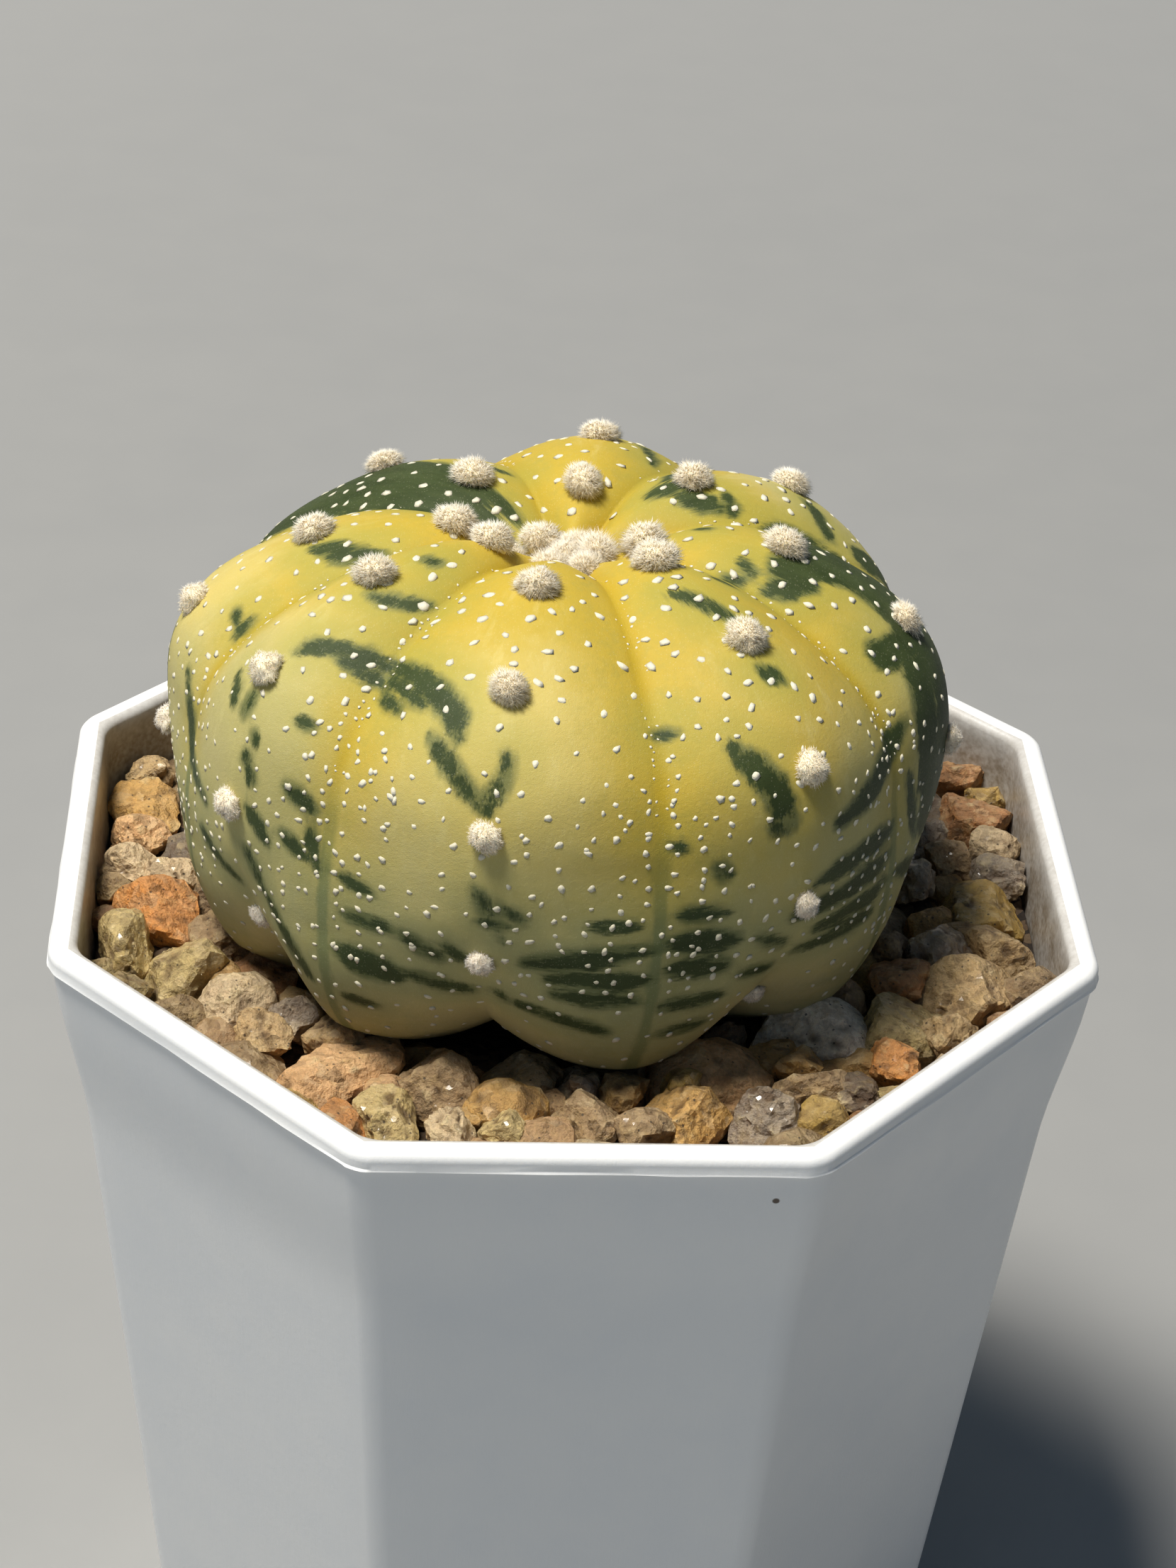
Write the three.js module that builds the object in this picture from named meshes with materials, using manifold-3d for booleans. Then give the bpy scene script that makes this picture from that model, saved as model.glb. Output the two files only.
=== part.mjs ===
// A variegated star cactus in an octagonal plastic pot, topped with gravel.
// Millimetres, +Z up. The origin is the middle of the pot's base, on the surface it stands on, and
// -Y is the front. Depths in the pot are measured down from its rim.
import * as THREE from 'three';
import { mergeVertices } from 'three/addons/utils/BufferGeometryUtils.js';
import Module from 'manifold-3d';

// Pot: half widths are from the centre to the middle of a flat side.
const POT_HEIGHT = 78;
const RIM_OUTER = 37.45;
const RIM_INNER = 35.4;
const RIM_BAND = 1.4;
const RIM_ROUNDING = 0.7;
const WALL_AT_TOP = 36.5;
const WALL_TAPER = 0.0905;
const FLARE = 0.85;
const FLARE_START = 2.8;
const FLARE_END = 16;
const WALL = 1.35;
const FLOOR = 1.6;
const FOOT_RISE = 1.2;
const FOOT_WIDTH = 3;
const FLOOR_CORNER = 2;
const FOOT_CHAMFER = 0.8;
const CORNER_SHARE = 0.075;
const CORNER_STEPS = 3;
const ARC_STEPS = 3;
const RIM_ARC_FROM = THREE.MathUtils.degToRad(150);
const INSIDE_DEPTHS = [22, 12, 6];
const OUTSIDE_DEPTHS = [1.65, 5, 8, 11, 14, 18];
const SIDES = 8;
const HOLE_RADIUS = 3.2;
const HOLE_CIRCLE = 15;
const HOLE_COUNT = 4;
const HOLE_SEGMENTS = 12;

// Potting mix and gravel.
const GAP = 0.3;
const SOIL_DEPTH = 13;
const SOIL_CHAMFER = 2.2;
const SLAB_DEPTH = 6.8;
const FILLING_STEPS = 3;
const STONE_TOP_DEPTH = 2.1;
const GRAVEL_FALL = 0.035;
const STONE_SIZES = [3.7, 2.8, 2.0, 1.6];
const STONE_TRIES = [1400, 1800, 1800, 2400];
const STONE_SPACING = 0.69;
const STONE_FROM_PLANT = 20;
const STONE_SEED = 11;
// As shares of a pebble's size: from its middle up to its top, and how far it keeps from the wall.
const STONE_RISE_SHARE = 0.7;
const STONE_WALL_SHARE = 0.6;
const STONE_SUNK_SHARE = 0.2;
const STONE_KNOCK = [0.8, 1.14];
const STONE_WIDTH = [0.72, 0.92];
const STONE_HEIGHT = [0.6, 0.8];
const STONE_TIP = [-0.25, 0.25];
// The pebbles in front, from the left round to the right: x, y and half length.
const SEEN_STONES = [
  [-32.6, 19, 1.9], [-32, 15, 1.8], [-32.4, 10.9, 2.7], [-32.6, 6, 2.2],
  [-32.8, 1.8, 2.1], [-29.6, 1.6, 1.9], [-30, -3.6, 3.5], [-32.6, -8, 3.0],
  [-28.2, -10.7, 3.7], [-22.2, -10, 3.0], [-25.5, -6.4, 2.2], [-24.2, -15.8, 3.4],
  [-20.4, -17, 2.1], [-22.4, -19.6, 2.2], [-17, -22.8, 4.5], [-17.2, -18.8, 2.1],
  [-13.4, -28.6, 2.5], [-10, -24.7, 3.6], [-9.3, -30.6, 1.8], [-4.3, -22.8, 3.8],
  [-5.5, -30.6, 1.7], [0.1, -28, 2.8], [3.9, -30.4, 1.9], [7.1, -28.4, 3.1],
  [9.4, -22.2, 4.6], [12.8, -27.4, 2.8], [16.4, -24.9, 2.7], [16.7, -17, 4.6],
  [23, -16.2, 3.9], [22.4, -22, 2.0], [19.4, -25.6, 1.7], [28.4, -12.9, 3.6],
  [26.2, -18.4, 1.8], [32, -7.2, 2.9], [27.6, -7.1, 2.6], [30.8, -1.6, 3.6],
  [24, -11.4, 2.2], [33, 3.2, 2.1], [32.8, 7, 2.0], [29.4, 5, 2.1],
  [28, 9, 1.7], [32, 11.4, 2.9], [31.6, 17.6, 2.7], [26.5, 1.6, 1.8],
  [23.2, -7.7, 1.6], [10.5, -17.6, 2.2], [-0.5, -18.6, 2.1],
];

// Plant: its own origin is where the axis meets the gravel, and it leans back a little.
const PLANT_PLACE = new THREE.Vector3(-1.9, -1.0, POT_HEIGHT - 3.5);
const LEAN_BACK = 0.099;
const LEAN_RIGHT = 0.027;
const BODY_RADIUS = 28.3;
const EQUATOR = 16.2;
const CROWN_RISE = 15;
const BASE_DROP = 20.5;
const CROWN_FULLNESS = 2.46;
const BASE_FULLNESS = 2.38;
const APEX_DIP = 4.5;
const APEX_WIDTH = 6.9;
const RIB_COUNT = 8;
const COLUMNS_PER_RIB = 8;
const ROWS = 20;
const FRONT_RIB = -98.7;
// How far each rib's crest and the groove after it stand off an even spacing, in degrees, how large the
// rib's crown is beside a full one, and how far its first woolly tuft is from the apex, in millimetres
// along the crest. Front rib first, then anticlockwise seen from above.
const RIBS = [
  { crest: -3.4, groove: -1.1, reach: 1, firstTuft: 13.9 },
  { crest: -1.2, groove: -1.4, reach: 1, firstTuft: 10.4 },
  { crest: -1.6, groove: -0.9, reach: 0.98, firstTuft: 5.8 },
  { crest: -0.1, groove: -0.7, reach: 1, firstTuft: 12.0 },
  { crest: -1.2, groove: 1.7, reach: 1, firstTuft: 7.6 },
  { crest: 4.0, groove: 6.4, reach: 0.93, firstTuft: 11.0 },
  { crest: 8.0, groove: 4.4, reach: 0.93, firstTuft: 8.6 },
  { crest: -0.3, groove: -5.4, reach: 0.99, firstTuft: 7.6 },
];
// Groove depth as a share of the radius, by latitude in degrees. It turns over near the base, where the
// groove lines stand out as corners and the crests are notched.
const GROOVE_BY_LATITUDE = [
  [-45, -0.138],
  [-20, -0.02],
  [0, 0.043],
  [20, 0.074],
  [45, 0.12],
];
const CREASE_LATITUDES = [-30, 20];
const CREASE_POWER = 1.8;
const REACH_FROM = 40;
const CROWN_GROOVE_SHARE = 0.73;
const CROWN_GROOVE_FADE = 4.5;
const BASE_GROOVE_FADE = 16;
const TUFT_SPACING = 10.1;
const TUFT_REACH = 52;
const TUFT_WIDTH_TOP = 1.7;
const TUFT_WIDTH_BASE = 1.0;
const TUFT_HEIGHT_SHARE = 0.75;
const TUFT_STAND = 0.18;
const TUFT_SIDES = 6;
const TUFT_ROWS = 4;
const CREST_STEPS = 400;
const CREST_LENGTH = Math.PI * 0.9;
// Young tufts beside the crown, which are off the rows: rib number, latitude and half width.
const YOUNG_TUFTS = [
  { rib: 6.38, degrees: 82.7, width: 1.6 },
  { rib: 4.95, degrees: 86, width: 1.75 },
];
const FLECK_COUNT = 70;
const FLECK_WIDTH = 0.42;
const FLECK_LATITUDES = [-38, 74];
const FLECK_OFF_CREST = 0.1;
const FLECK_SEED = 5;
const ROOT_RADIUS = 7;
const ROOT_DEPTH = 34;
// Shares of the root's radius and depth, from its tip up.
const ROOT_PROFILE = [
  [0, 1],
  [0.13, 0.98],
  [0.3, 0.8],
  [0.57, 0.5],
  [1, 0.2],
  [1, 0],
];
const ROOT_SIDES = 16;
const SEAT_CLEARANCE = 0.5;
const SEAT_STEPS = 10;
const SEAT_SIDES = 32;
// Lumps of young wool in the middle of the crown: x and y from the apex, and radius.
const CROWN_LUMPS = [
  [-1.4, -2.9, 1.5],
  [1.2, -3.1, 1.5],
  [2.1, -0.3, 1.65],
  [-0.2, -0.6, 1.3],
  [0.6, 1.4, 1.2],
];
const WOOL_STAND_SHARE = 0.5;
const WOOL_GAP = 0.4;
// Corners closer together than this are one corner.
const MERGE_WITHIN = 1e-4;

const wasm = await Module();
wasm.setup();

// A repeatable draw between 0 and 1.
function seededDraw(seed) {
  let state = seed >>> 0;
  return () => {
    state = (state + 0x6d2b79f5) >>> 0;
    let t = state;
    t = Math.imul(t ^ (t >>> 15), t | 1);
    t ^= t + Math.imul(t ^ (t >>> 7), t | 61);
    return ((t ^ (t >>> 14)) >>> 0) / 4294967296;
  };
}

function between([low, high], share) {
  return low + (high - low) * share;
}

function smoothstep(from, to, value) {
  return THREE.MathUtils.smoothstep(value, from, to);
}

// A closed geometry as a solid for joining and cutting. Triangles that close up at a pole are left out,
// and a geometry that was moved inside out is turned right way round.
function toSolid(geometry) {
  const bare = geometry.clone();
  bare.deleteAttribute('normal');
  bare.deleteAttribute('uv');
  const merged = mergeVertices(bare, MERGE_WITHIN);
  const index = merged.index.array;
  const position = merged.attributes.position;
  const a = new THREE.Vector3();
  const b = new THREE.Vector3();
  const c = new THREE.Vector3();
  const triangles = [];
  let volume = 0;
  for (let i = 0; i < index.length; i += 3) {
    const [ia, ib, ic] = [index[i], index[i + 1], index[i + 2]];
    if (ia !== ib && ib !== ic && ic !== ia) {
      triangles.push([ia, ib, ic]);
      a.fromBufferAttribute(position, ia);
      b.fromBufferAttribute(position, ib);
      c.fromBufferAttribute(position, ic);
      volume += a.dot(b.cross(c));
    }
  }
  const facing = volume < 0 ? triangles.map(([p, q, r]) => [p, r, q]) : triangles;
  return new wasm.Manifold(
    new wasm.Mesh({
      numProp: 3,
      vertProperties: new Float32Array(position.array),
      triVerts: new Uint32Array(facing.flat()),
    }),
  );
}

// The largest connected body of a solid, without loose scraps or the walls of sealed hollows.
function mainBody(solid) {
  const bodies = solid.decompose();
  return bodies.reduce((best, next) => (next.volume() > best.volume() ? next : best));
}

function toMesh(name, solid, material) {
  const { vertProperties, triVerts } = solid.getMesh();
  const geometry = new THREE.BufferGeometry();
  geometry.setAttribute('position', new THREE.BufferAttribute(new Float32Array(vertProperties), 3));
  geometry.setIndex(new THREE.BufferAttribute(new Uint32Array(triVerts), 1));
  geometry.computeVertexNormals();
  const mesh = new THREE.Mesh(geometry, material);
  mesh.name = name;
  return mesh;
}

// Octagon

// The outline of an octagon with rounded corners and a half width of 1.
function octagonOutline() {
  const halfTurn = Math.PI / SIDES;
  const centreDistance = (1 - CORNER_SHARE) / Math.cos(halfTurn);
  const outline = [];
  for (let corner = 0; corner < SIDES; corner += 1) {
    const middle = halfTurn * (2 * corner + 1);
    for (let step = 0; step <= CORNER_STEPS; step += 1) {
      const angle = middle + halfTurn * ((2 * step) / CORNER_STEPS - 1);
      outline.push(
        new THREE.Vector2(
          centreDistance * Math.cos(middle) + CORNER_SHARE * Math.cos(angle),
          centreDistance * Math.sin(middle) + CORNER_SHARE * Math.sin(angle),
        ),
      );
    }
  }
  return outline;
}

// Turns a profile of half widths and heights into an octagonal body: a lathe body, whose columns are
// moved out to the octagon's outline.
function octagonalBody(profile) {
  const outline = octagonOutline();
  const geometry = new THREE.LatheGeometry(profile, outline.length);
  const position = geometry.attributes.position;
  for (let i = 0; i < position.count; i += 1) {
    const column = Math.floor(i / profile.length) % outline.length;
    const { x: halfWidth, y: height } = profile[i % profile.length];
    position.setXYZ(i, halfWidth * outline[column].x, halfWidth * outline[column].y, height);
  }
  return geometry;
}

// Pot

function flareAt(depth) {
  return FLARE * (1 - smoothstep(FLARE_START, FLARE_END, depth));
}

function outerHalfWidth(depth) {
  return WALL_AT_TOP - WALL_TAPER * depth + flareAt(depth);
}

function innerHalfWidth(depth) {
  const parallel = WALL_AT_TOP - WALL_TAPER * depth - WALL;
  return THREE.MathUtils.lerp(RIM_INNER, parallel, smoothstep(0, FLARE_END, depth));
}

// A stretch of the rim's rounding, about a centre at a half width.
function rimArc(centreX, fromAngle, toAngle) {
  const points = [];
  for (let i = 0; i <= ARC_STEPS; i += 1) {
    const angle = THREE.MathUtils.lerp(fromAngle, toAngle, i / ARC_STEPS);
    const height = POT_HEIGHT - RIM_ROUNDING + RIM_ROUNDING * Math.sin(angle);
    points.push(new THREE.Vector2(centreX + RIM_ROUNDING * Math.cos(angle), height));
  }
  return points;
}

function potProfile() {
  const floorTop = FOOT_RISE + FLOOR;
  const floorDepth = POT_HEIGHT - floorTop;
  const baseHalfWidth = outerHalfWidth(POT_HEIGHT);
  const inside = INSIDE_DEPTHS.map((depth) => new THREE.Vector2(innerHalfWidth(depth), POT_HEIGHT - depth));
  const outside = OUTSIDE_DEPTHS.map((depth) => new THREE.Vector2(outerHalfWidth(depth), POT_HEIGHT - depth));
  return [
    new THREE.Vector2(0, floorTop),
    new THREE.Vector2(innerHalfWidth(floorDepth) - FLOOR_CORNER, floorTop),
    new THREE.Vector2(innerHalfWidth(floorDepth), floorTop + FLOOR_CORNER),
    ...inside,
    ...rimArc(RIM_INNER + RIM_ROUNDING, RIM_ARC_FROM, Math.PI / 2),
    ...rimArc(RIM_OUTER - RIM_ROUNDING, Math.PI / 2, 0),
    new THREE.Vector2(RIM_OUTER, POT_HEIGHT - RIM_BAND),
    ...outside,
    new THREE.Vector2(baseHalfWidth + WALL_TAPER * FOOT_CHAMFER, FOOT_CHAMFER),
    new THREE.Vector2(baseHalfWidth - FOOT_CHAMFER, 0),
    new THREE.Vector2(baseHalfWidth - FOOT_WIDTH, 0),
    new THREE.Vector2(baseHalfWidth - FOOT_WIDTH - FOOT_RISE, FOOT_RISE),
    new THREE.Vector2(0, FOOT_RISE),
  ];
}

// A round hole through the pot's floor, so that water drains.
function drainHole(x, y) {
  const hole = new THREE.CylinderGeometry(HOLE_RADIUS, HOLE_RADIUS, 4 * (FOOT_RISE + FLOOR), HOLE_SEGMENTS);
  hole.rotateX(Math.PI / 2);
  hole.translate(x, y, FOOT_RISE);
  return toSolid(hole);
}

function buildPot() {
  let pot = toSolid(octagonalBody(potProfile())).subtract(drainHole(0, 0));
  for (let i = 0; i < HOLE_COUNT; i += 1) {
    const angle = (2 * Math.PI * (i + 0.5)) / HOLE_COUNT;
    pot = pot.subtract(drainHole(HOLE_CIRCLE * Math.cos(angle), HOLE_CIRCLE * Math.sin(angle)));
  }
  return pot;
}

// An octagonal filling of the pot between two depths, clear of its walls.
function filling(topDepth, bottomDepth, bottomChamfer = 0) {
  const bottomHalfWidth = innerHalfWidth(bottomDepth) - GAP;
  const profile = [
    new THREE.Vector2(0, POT_HEIGHT - bottomDepth),
    new THREE.Vector2(bottomHalfWidth - bottomChamfer, POT_HEIGHT - bottomDepth),
  ];
  const lowest = bottomDepth - Math.max(bottomChamfer, GAP);
  for (let i = 0; i <= FILLING_STEPS; i += 1) {
    const depth = THREE.MathUtils.lerp(lowest, topDepth, i / FILLING_STEPS);
    profile.push(new THREE.Vector2(innerHalfWidth(depth) - GAP, POT_HEIGHT - depth));
  }
  profile.push(new THREE.Vector2(0, POT_HEIGHT - topDepth));
  return toSolid(octagonalBody(profile));
}

// Plant

// An even share of a turn: rib k has its crest at k and its groove at k + 0.5.
function ribAzimuth(rib) {
  const spacing = (2 * Math.PI) / RIB_COUNT;
  const halfSteps = Math.floor(rib * 2);
  const offset = (half) => {
    const { crest, groove } = RIBS[((Math.floor(half / 2) % RIB_COUNT) + RIB_COUNT) % RIB_COUNT];
    return THREE.MathUtils.degToRad(half % 2 === 0 ? crest : groove);
  };
  const unevenness = THREE.MathUtils.lerp(offset(halfSteps), offset(halfSteps + 1), rib * 2 - halfSteps);
  return THREE.MathUtils.degToRad(FRONT_RIB) + spacing * rib + unevenness;
}

// How large the crown is at a rib number, between the ribs on either side.
function ribReach(rib) {
  const before = Math.floor(rib);
  const { reach: here } = RIBS[((before % RIB_COUNT) + RIB_COUNT) % RIB_COUNT];
  const { reach: next } = RIBS[(((before + 1) % RIB_COUNT) + RIB_COUNT) % RIB_COUNT];
  return THREE.MathUtils.lerp(here, next, smoothstep(0, 1, rib - before));
}

function grooveDepth(latitude) {
  const table = GROOVE_BY_LATITUDE;
  const degrees = THREE.MathUtils.clamp(THREE.MathUtils.radToDeg(latitude), table[0][0], table.at(-1)[0]);
  const i = Math.min(table.findIndex(([to]) => degrees <= to), table.length - 1) || 1;
  const [[from, depthFrom], [to, depthTo]] = [table[i - 1], table[i]];
  return THREE.MathUtils.mapLinear(degrees, from, to, depthFrom, depthTo);
}

// How far a point is into the groove, from 0 on the crest to 1 in the groove. Above, the ribs are round
// and meet in a crease; near the base the crests are the creases.
function grooveShare(latitude, rib) {
  const across = 2 * Math.abs(rib - Math.round(rib));
  const above = smoothstep(...CREASE_LATITUDES, THREE.MathUtils.radToDeg(latitude));
  return THREE.MathUtils.lerp(Math.sin((Math.PI / 2) * across), across ** CREASE_POWER, above);
}

// The stem's surface in the plant's own frame, for a latitude in radians and a rib number.
function stemPoint(latitude, rib) {
  const above = latitude >= 0;
  const power = 2 / (above ? CROWN_FULLNESS : BASE_FULLNESS);
  const radius = BODY_RADIUS * Math.max(Math.cos(latitude), 0) ** power;
  const rise = (above ? CROWN_RISE : -BASE_DROP) * Math.abs(Math.sin(latitude)) ** power;
  const fade = smoothstep(0, above ? CROWN_GROOVE_FADE : BASE_GROOVE_FADE, radius);
  const depth = grooveDepth(latitude) * grooveShare(latitude, rib) * fade;
  const crownwards = smoothstep(0, REACH_FROM, THREE.MathUtils.radToDeg(latitude));
  const reach = THREE.MathUtils.lerp(1, ribReach(rib), fade * crownwards);
  const ribbedRadius = radius * reach * (1 - depth);
  const ribbedRise = rise * reach * (1 - (above ? CROWN_GROOVE_SHARE : 1) * depth);
  const dip = APEX_DIP * Math.exp(-((ribbedRadius / APEX_WIDTH) ** 2));
  const azimuth = ribAzimuth(rib);
  return new THREE.Vector3(
    ribbedRadius * Math.cos(azimuth),
    ribbedRadius * Math.sin(azimuth),
    EQUATOR + ribbedRise - dip,
  );
}

// Outward direction of the stem's surface.
function stemNormal(latitude, rib) {
  const small = 0.01;
  const up = stemPoint(latitude + small, rib).sub(stemPoint(latitude - small, rib));
  const round = stemPoint(latitude, rib + small).sub(stemPoint(latitude, rib - small));
  return round.cross(up).normalize();
}

// A lathe ball whose points are moved to the stem's surface.
function stemBody() {
  const columns = RIB_COUNT * COLUMNS_PER_RIB;
  const profile = [];
  for (let row = 0; row <= ROWS; row += 1) {
    const latitude = Math.PI * (row / ROWS - 0.5);
    const onAxis = row === 0 || row === ROWS;
    profile.push(new THREE.Vector2(onAxis ? 0 : Math.cos(latitude), Math.sin(latitude)));
  }
  const geometry = new THREE.LatheGeometry(profile, columns);
  const position = geometry.attributes.position;
  for (let i = 0; i < position.count; i += 1) {
    const column = Math.floor(i / profile.length) % columns;
    const latitude = Math.asin(THREE.MathUtils.clamp(profile[i % profile.length].y, -1, 1));
    const point = stemPoint(latitude, column / COLUMNS_PER_RIB);
    position.setXYZ(i, point.x, point.y, point.z);
  }
  return toSolid(geometry);
}

// The thick root below the stem, in line with it. It can be grown all round.
function rootBody(grow) {
  const profile = ROOT_PROFILE.map(([radius, depth]) => {
    const halfWidth = radius > 0 ? ROOT_RADIUS * radius + grow : 0;
    const drop = depth > 0 ? ROOT_DEPTH * depth + grow : 0;
    return new THREE.Vector2(halfWidth, -drop);
  });
  const geometry = new THREE.LatheGeometry([...profile, new THREE.Vector2(0, 0)], ROOT_SIDES);
  geometry.rotateX(Math.PI / 2);
  return geometry;
}

// A small body set on the stem, its own +Z along the surface's outward direction.
function setOnStem(geometry, latitude, rib, stand) {
  const normal = stemNormal(latitude, rib);
  geometry.applyQuaternion(new THREE.Quaternion().setFromUnitVectors(new THREE.Vector3(0, 0, 1), normal));
  const place = stemPoint(latitude, rib).addScaledVector(normal, stand);
  geometry.translate(place.x, place.y, place.z);
  return toSolid(geometry);
}

// Latitudes at even steps along a rib's crest, from its first tuft down to the base.
function tuftLatitudes(rib) {
  const latitudes = [];
  let along = 0;
  let next = RIBS[rib].firstTuft;
  let last = stemPoint(Math.PI / 2, rib);
  for (let i = 1; i <= CREST_STEPS && next < TUFT_REACH; i += 1) {
    const latitude = Math.PI / 2 - (CREST_LENGTH * i) / CREST_STEPS;
    const point = stemPoint(latitude, rib);
    along += point.distanceTo(last);
    last = point;
    if (along >= next) {
      latitudes.push({ latitude, along });
      next += TUFT_SPACING;
    }
  }
  return latitudes;
}

// The tufts stand in a row on each crest, wider near the crown, with a few young ones beside it.
function tuftPlaces() {
  const places = YOUNG_TUFTS.map(({ rib, degrees, width }) => {
    return { rib, latitude: THREE.MathUtils.degToRad(degrees), width };
  });
  for (let rib = 0; rib < RIB_COUNT; rib += 1) {
    for (const { latitude, along } of tuftLatitudes(rib)) {
      const width = THREE.MathUtils.lerp(TUFT_WIDTH_TOP, TUFT_WIDTH_BASE, along / TUFT_REACH);
      places.push({ rib, latitude, width });
    }
  }
  return places;
}

// Woolly tufts, which can be grown all round.
function addTufts(stem, grow = 0) {
  let joined = stem;
  for (const { rib, latitude, width } of tuftPlaces()) {
    const tuft = new THREE.SphereGeometry(width + grow, TUFT_SIDES, TUFT_ROWS);
    tuft.rotateX(Math.PI / 2);
    tuft.scale(1, 1, TUFT_HEIGHT_SHARE);
    joined = joined.add(setOnStem(tuft, latitude, rib, TUFT_STAND * width));
  }
  return joined;
}

// Small raised white flecks, strewn evenly by area and kept off the tufts' crests.
function addFlecks(stem) {
  const draw = seededDraw(FLECK_SEED);
  let joined = stem;
  let placed = 0;
  while (placed < FLECK_COUNT) {
    const latitude = THREE.MathUtils.degToRad(between(FLECK_LATITUDES, draw()));
    const rib = RIB_COUNT * draw();
    const radius = Math.hypot(stemPoint(latitude, rib).x, stemPoint(latitude, rib).y);
    const onCrest = Math.abs(rib - Math.round(rib)) < FLECK_OFF_CREST;
    if (!onCrest && draw() < radius / BODY_RADIUS) {
      const fleck = new THREE.OctahedronGeometry(FLECK_WIDTH, 0);
      fleck.rotateZ(Math.PI * draw());
      joined = joined.add(setOnStem(fleck, latitude, rib, 0));
      placed += 1;
    }
  }
  return joined;
}

function buildStem() {
  const body = stemBody().add(toSolid(rootBody(0)));
  return mainBody(addFlecks(addTufts(body)));
}

// The height of the stem's surface above its origin at a place near the apex.
function crownHeight(x, y) {
  const rib = (Math.atan2(y, x) - THREE.MathUtils.degToRad(FRONT_RIB)) / ((2 * Math.PI) / RIB_COUNT);
  let latitude = Math.PI / 2;
  let point = stemPoint(latitude, rib);
  while (Math.hypot(point.x, point.y) < Math.hypot(x, y)) {
    latitude -= CREST_LENGTH / CREST_STEPS;
    point = stemPoint(latitude, rib);
  }
  return point.z;
}

// The knot of young wool in the middle of the crown, just clear of the stem.
function buildCrownWool() {
  const lumps = CROWN_LUMPS.map(([x, y, radius]) => {
    const lump = new THREE.IcosahedronGeometry(radius, 1);
    lump.translate(x, y, crownHeight(x, y) + radius * WOOL_STAND_SHARE);
    return toSolid(lump);
  });
  const wool = lumps.reduce((joined, lump) => joined.add(lump));
  const clearance = addTufts(stemBody().translate([0, 0, WOOL_GAP]), WOOL_GAP);
  return mainBody(wool.subtract(clearance));
}

const plant = new THREE.Group();
plant.position.copy(PLANT_PLACE);
plant.rotation.set(-LEAN_BACK, LEAN_RIGHT, 0);
plant.updateMatrix();

// Potting mix

// The room that the plant takes in the pot: a plain round dish under the body, and a hole for the root.
function plantSeat() {
  const widest = 1 - GROOVE_BY_LATITUDE[0][1];
  const profile = [];
  for (let i = 0; i <= SEAT_STEPS; i += 1) {
    const latitude = (-Math.PI / 2) * (1 - i / SEAT_STEPS);
    const power = 2 / BASE_FULLNESS;
    const radius = i === 0 ? 0 : widest * BODY_RADIUS * Math.cos(latitude) ** power + SEAT_CLEARANCE;
    const drop = widest * BASE_DROP * Math.abs(Math.sin(latitude)) ** power + SEAT_CLEARANCE;
    profile.push(new THREE.Vector2(radius, EQUATOR - drop));
  }
  profile.push(new THREE.Vector2(0, EQUATOR - SEAT_CLEARANCE));
  const dish = new THREE.LatheGeometry(profile, SEAT_SIDES);
  dish.rotateX(Math.PI / 2);
  dish.applyMatrix4(plant.matrix);
  const root = rootBody(SEAT_CLEARANCE);
  root.applyMatrix4(plant.matrix);
  return toSolid(dish).add(toSolid(root));
}

function buildPottingMix(seat) {
  const floorDepth = POT_HEIGHT - FOOT_RISE - FLOOR;
  return mainBody(filling(SOIL_DEPTH, floorDepth - GAP, SOIL_CHAMFER).subtract(seat));
}

// Gravel

// A broken pebble: a twenty-sided ball, knocked out of true and flattened.
function pebble(size, draw) {
  const ball = new THREE.IcosahedronGeometry(1, 0);
  ball.deleteAttribute('normal');
  ball.deleteAttribute('uv');
  const merged = mergeVertices(ball, MERGE_WITHIN);
  const position = merged.attributes.position;
  for (let i = 0; i < position.count; i += 1) {
    const knock = between(STONE_KNOCK, draw());
    position.setXYZ(i, position.getX(i) * knock, position.getY(i) * knock, position.getZ(i) * knock);
  }
  merged.scale(size, size * between(STONE_WIDTH, draw()), size * between(STONE_HEIGHT, draw()));
  merged.rotateX(between(STONE_TIP, draw()));
  merged.rotateY(between(STONE_TIP, draw()));
  merged.rotateZ(2 * Math.PI * draw());
  return merged;
}

// The height under the plant's body at a distance from its axis, where a pebble has to stay below it.
function undersideHeight(distance) {
  const share = Math.min(distance / (BODY_RADIUS + 1), 1);
  return PLANT_PLACE.z + EQUATOR - BASE_DROP * (1 - share ** BASE_FULLNESS) ** (1 / BASE_FULLNESS);
}

// The height of a pebble's middle: a little below the rim, less so towards the back, and under the
// plant's overhang.
function restingHeight(x, y, size) {
  const fromPlant = Math.hypot(x - PLANT_PLACE.x, y - PLANT_PLACE.y);
  const rise = size * STONE_RISE_SHARE;
  return Math.min(
    POT_HEIGHT - STONE_TOP_DEPTH - GRAVEL_FALL * (y + RIM_INNER) - rise,
    undersideHeight(Math.max(fromPlant - rise, 0)) - rise - SEAT_CLEARANCE,
  );
}

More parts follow.
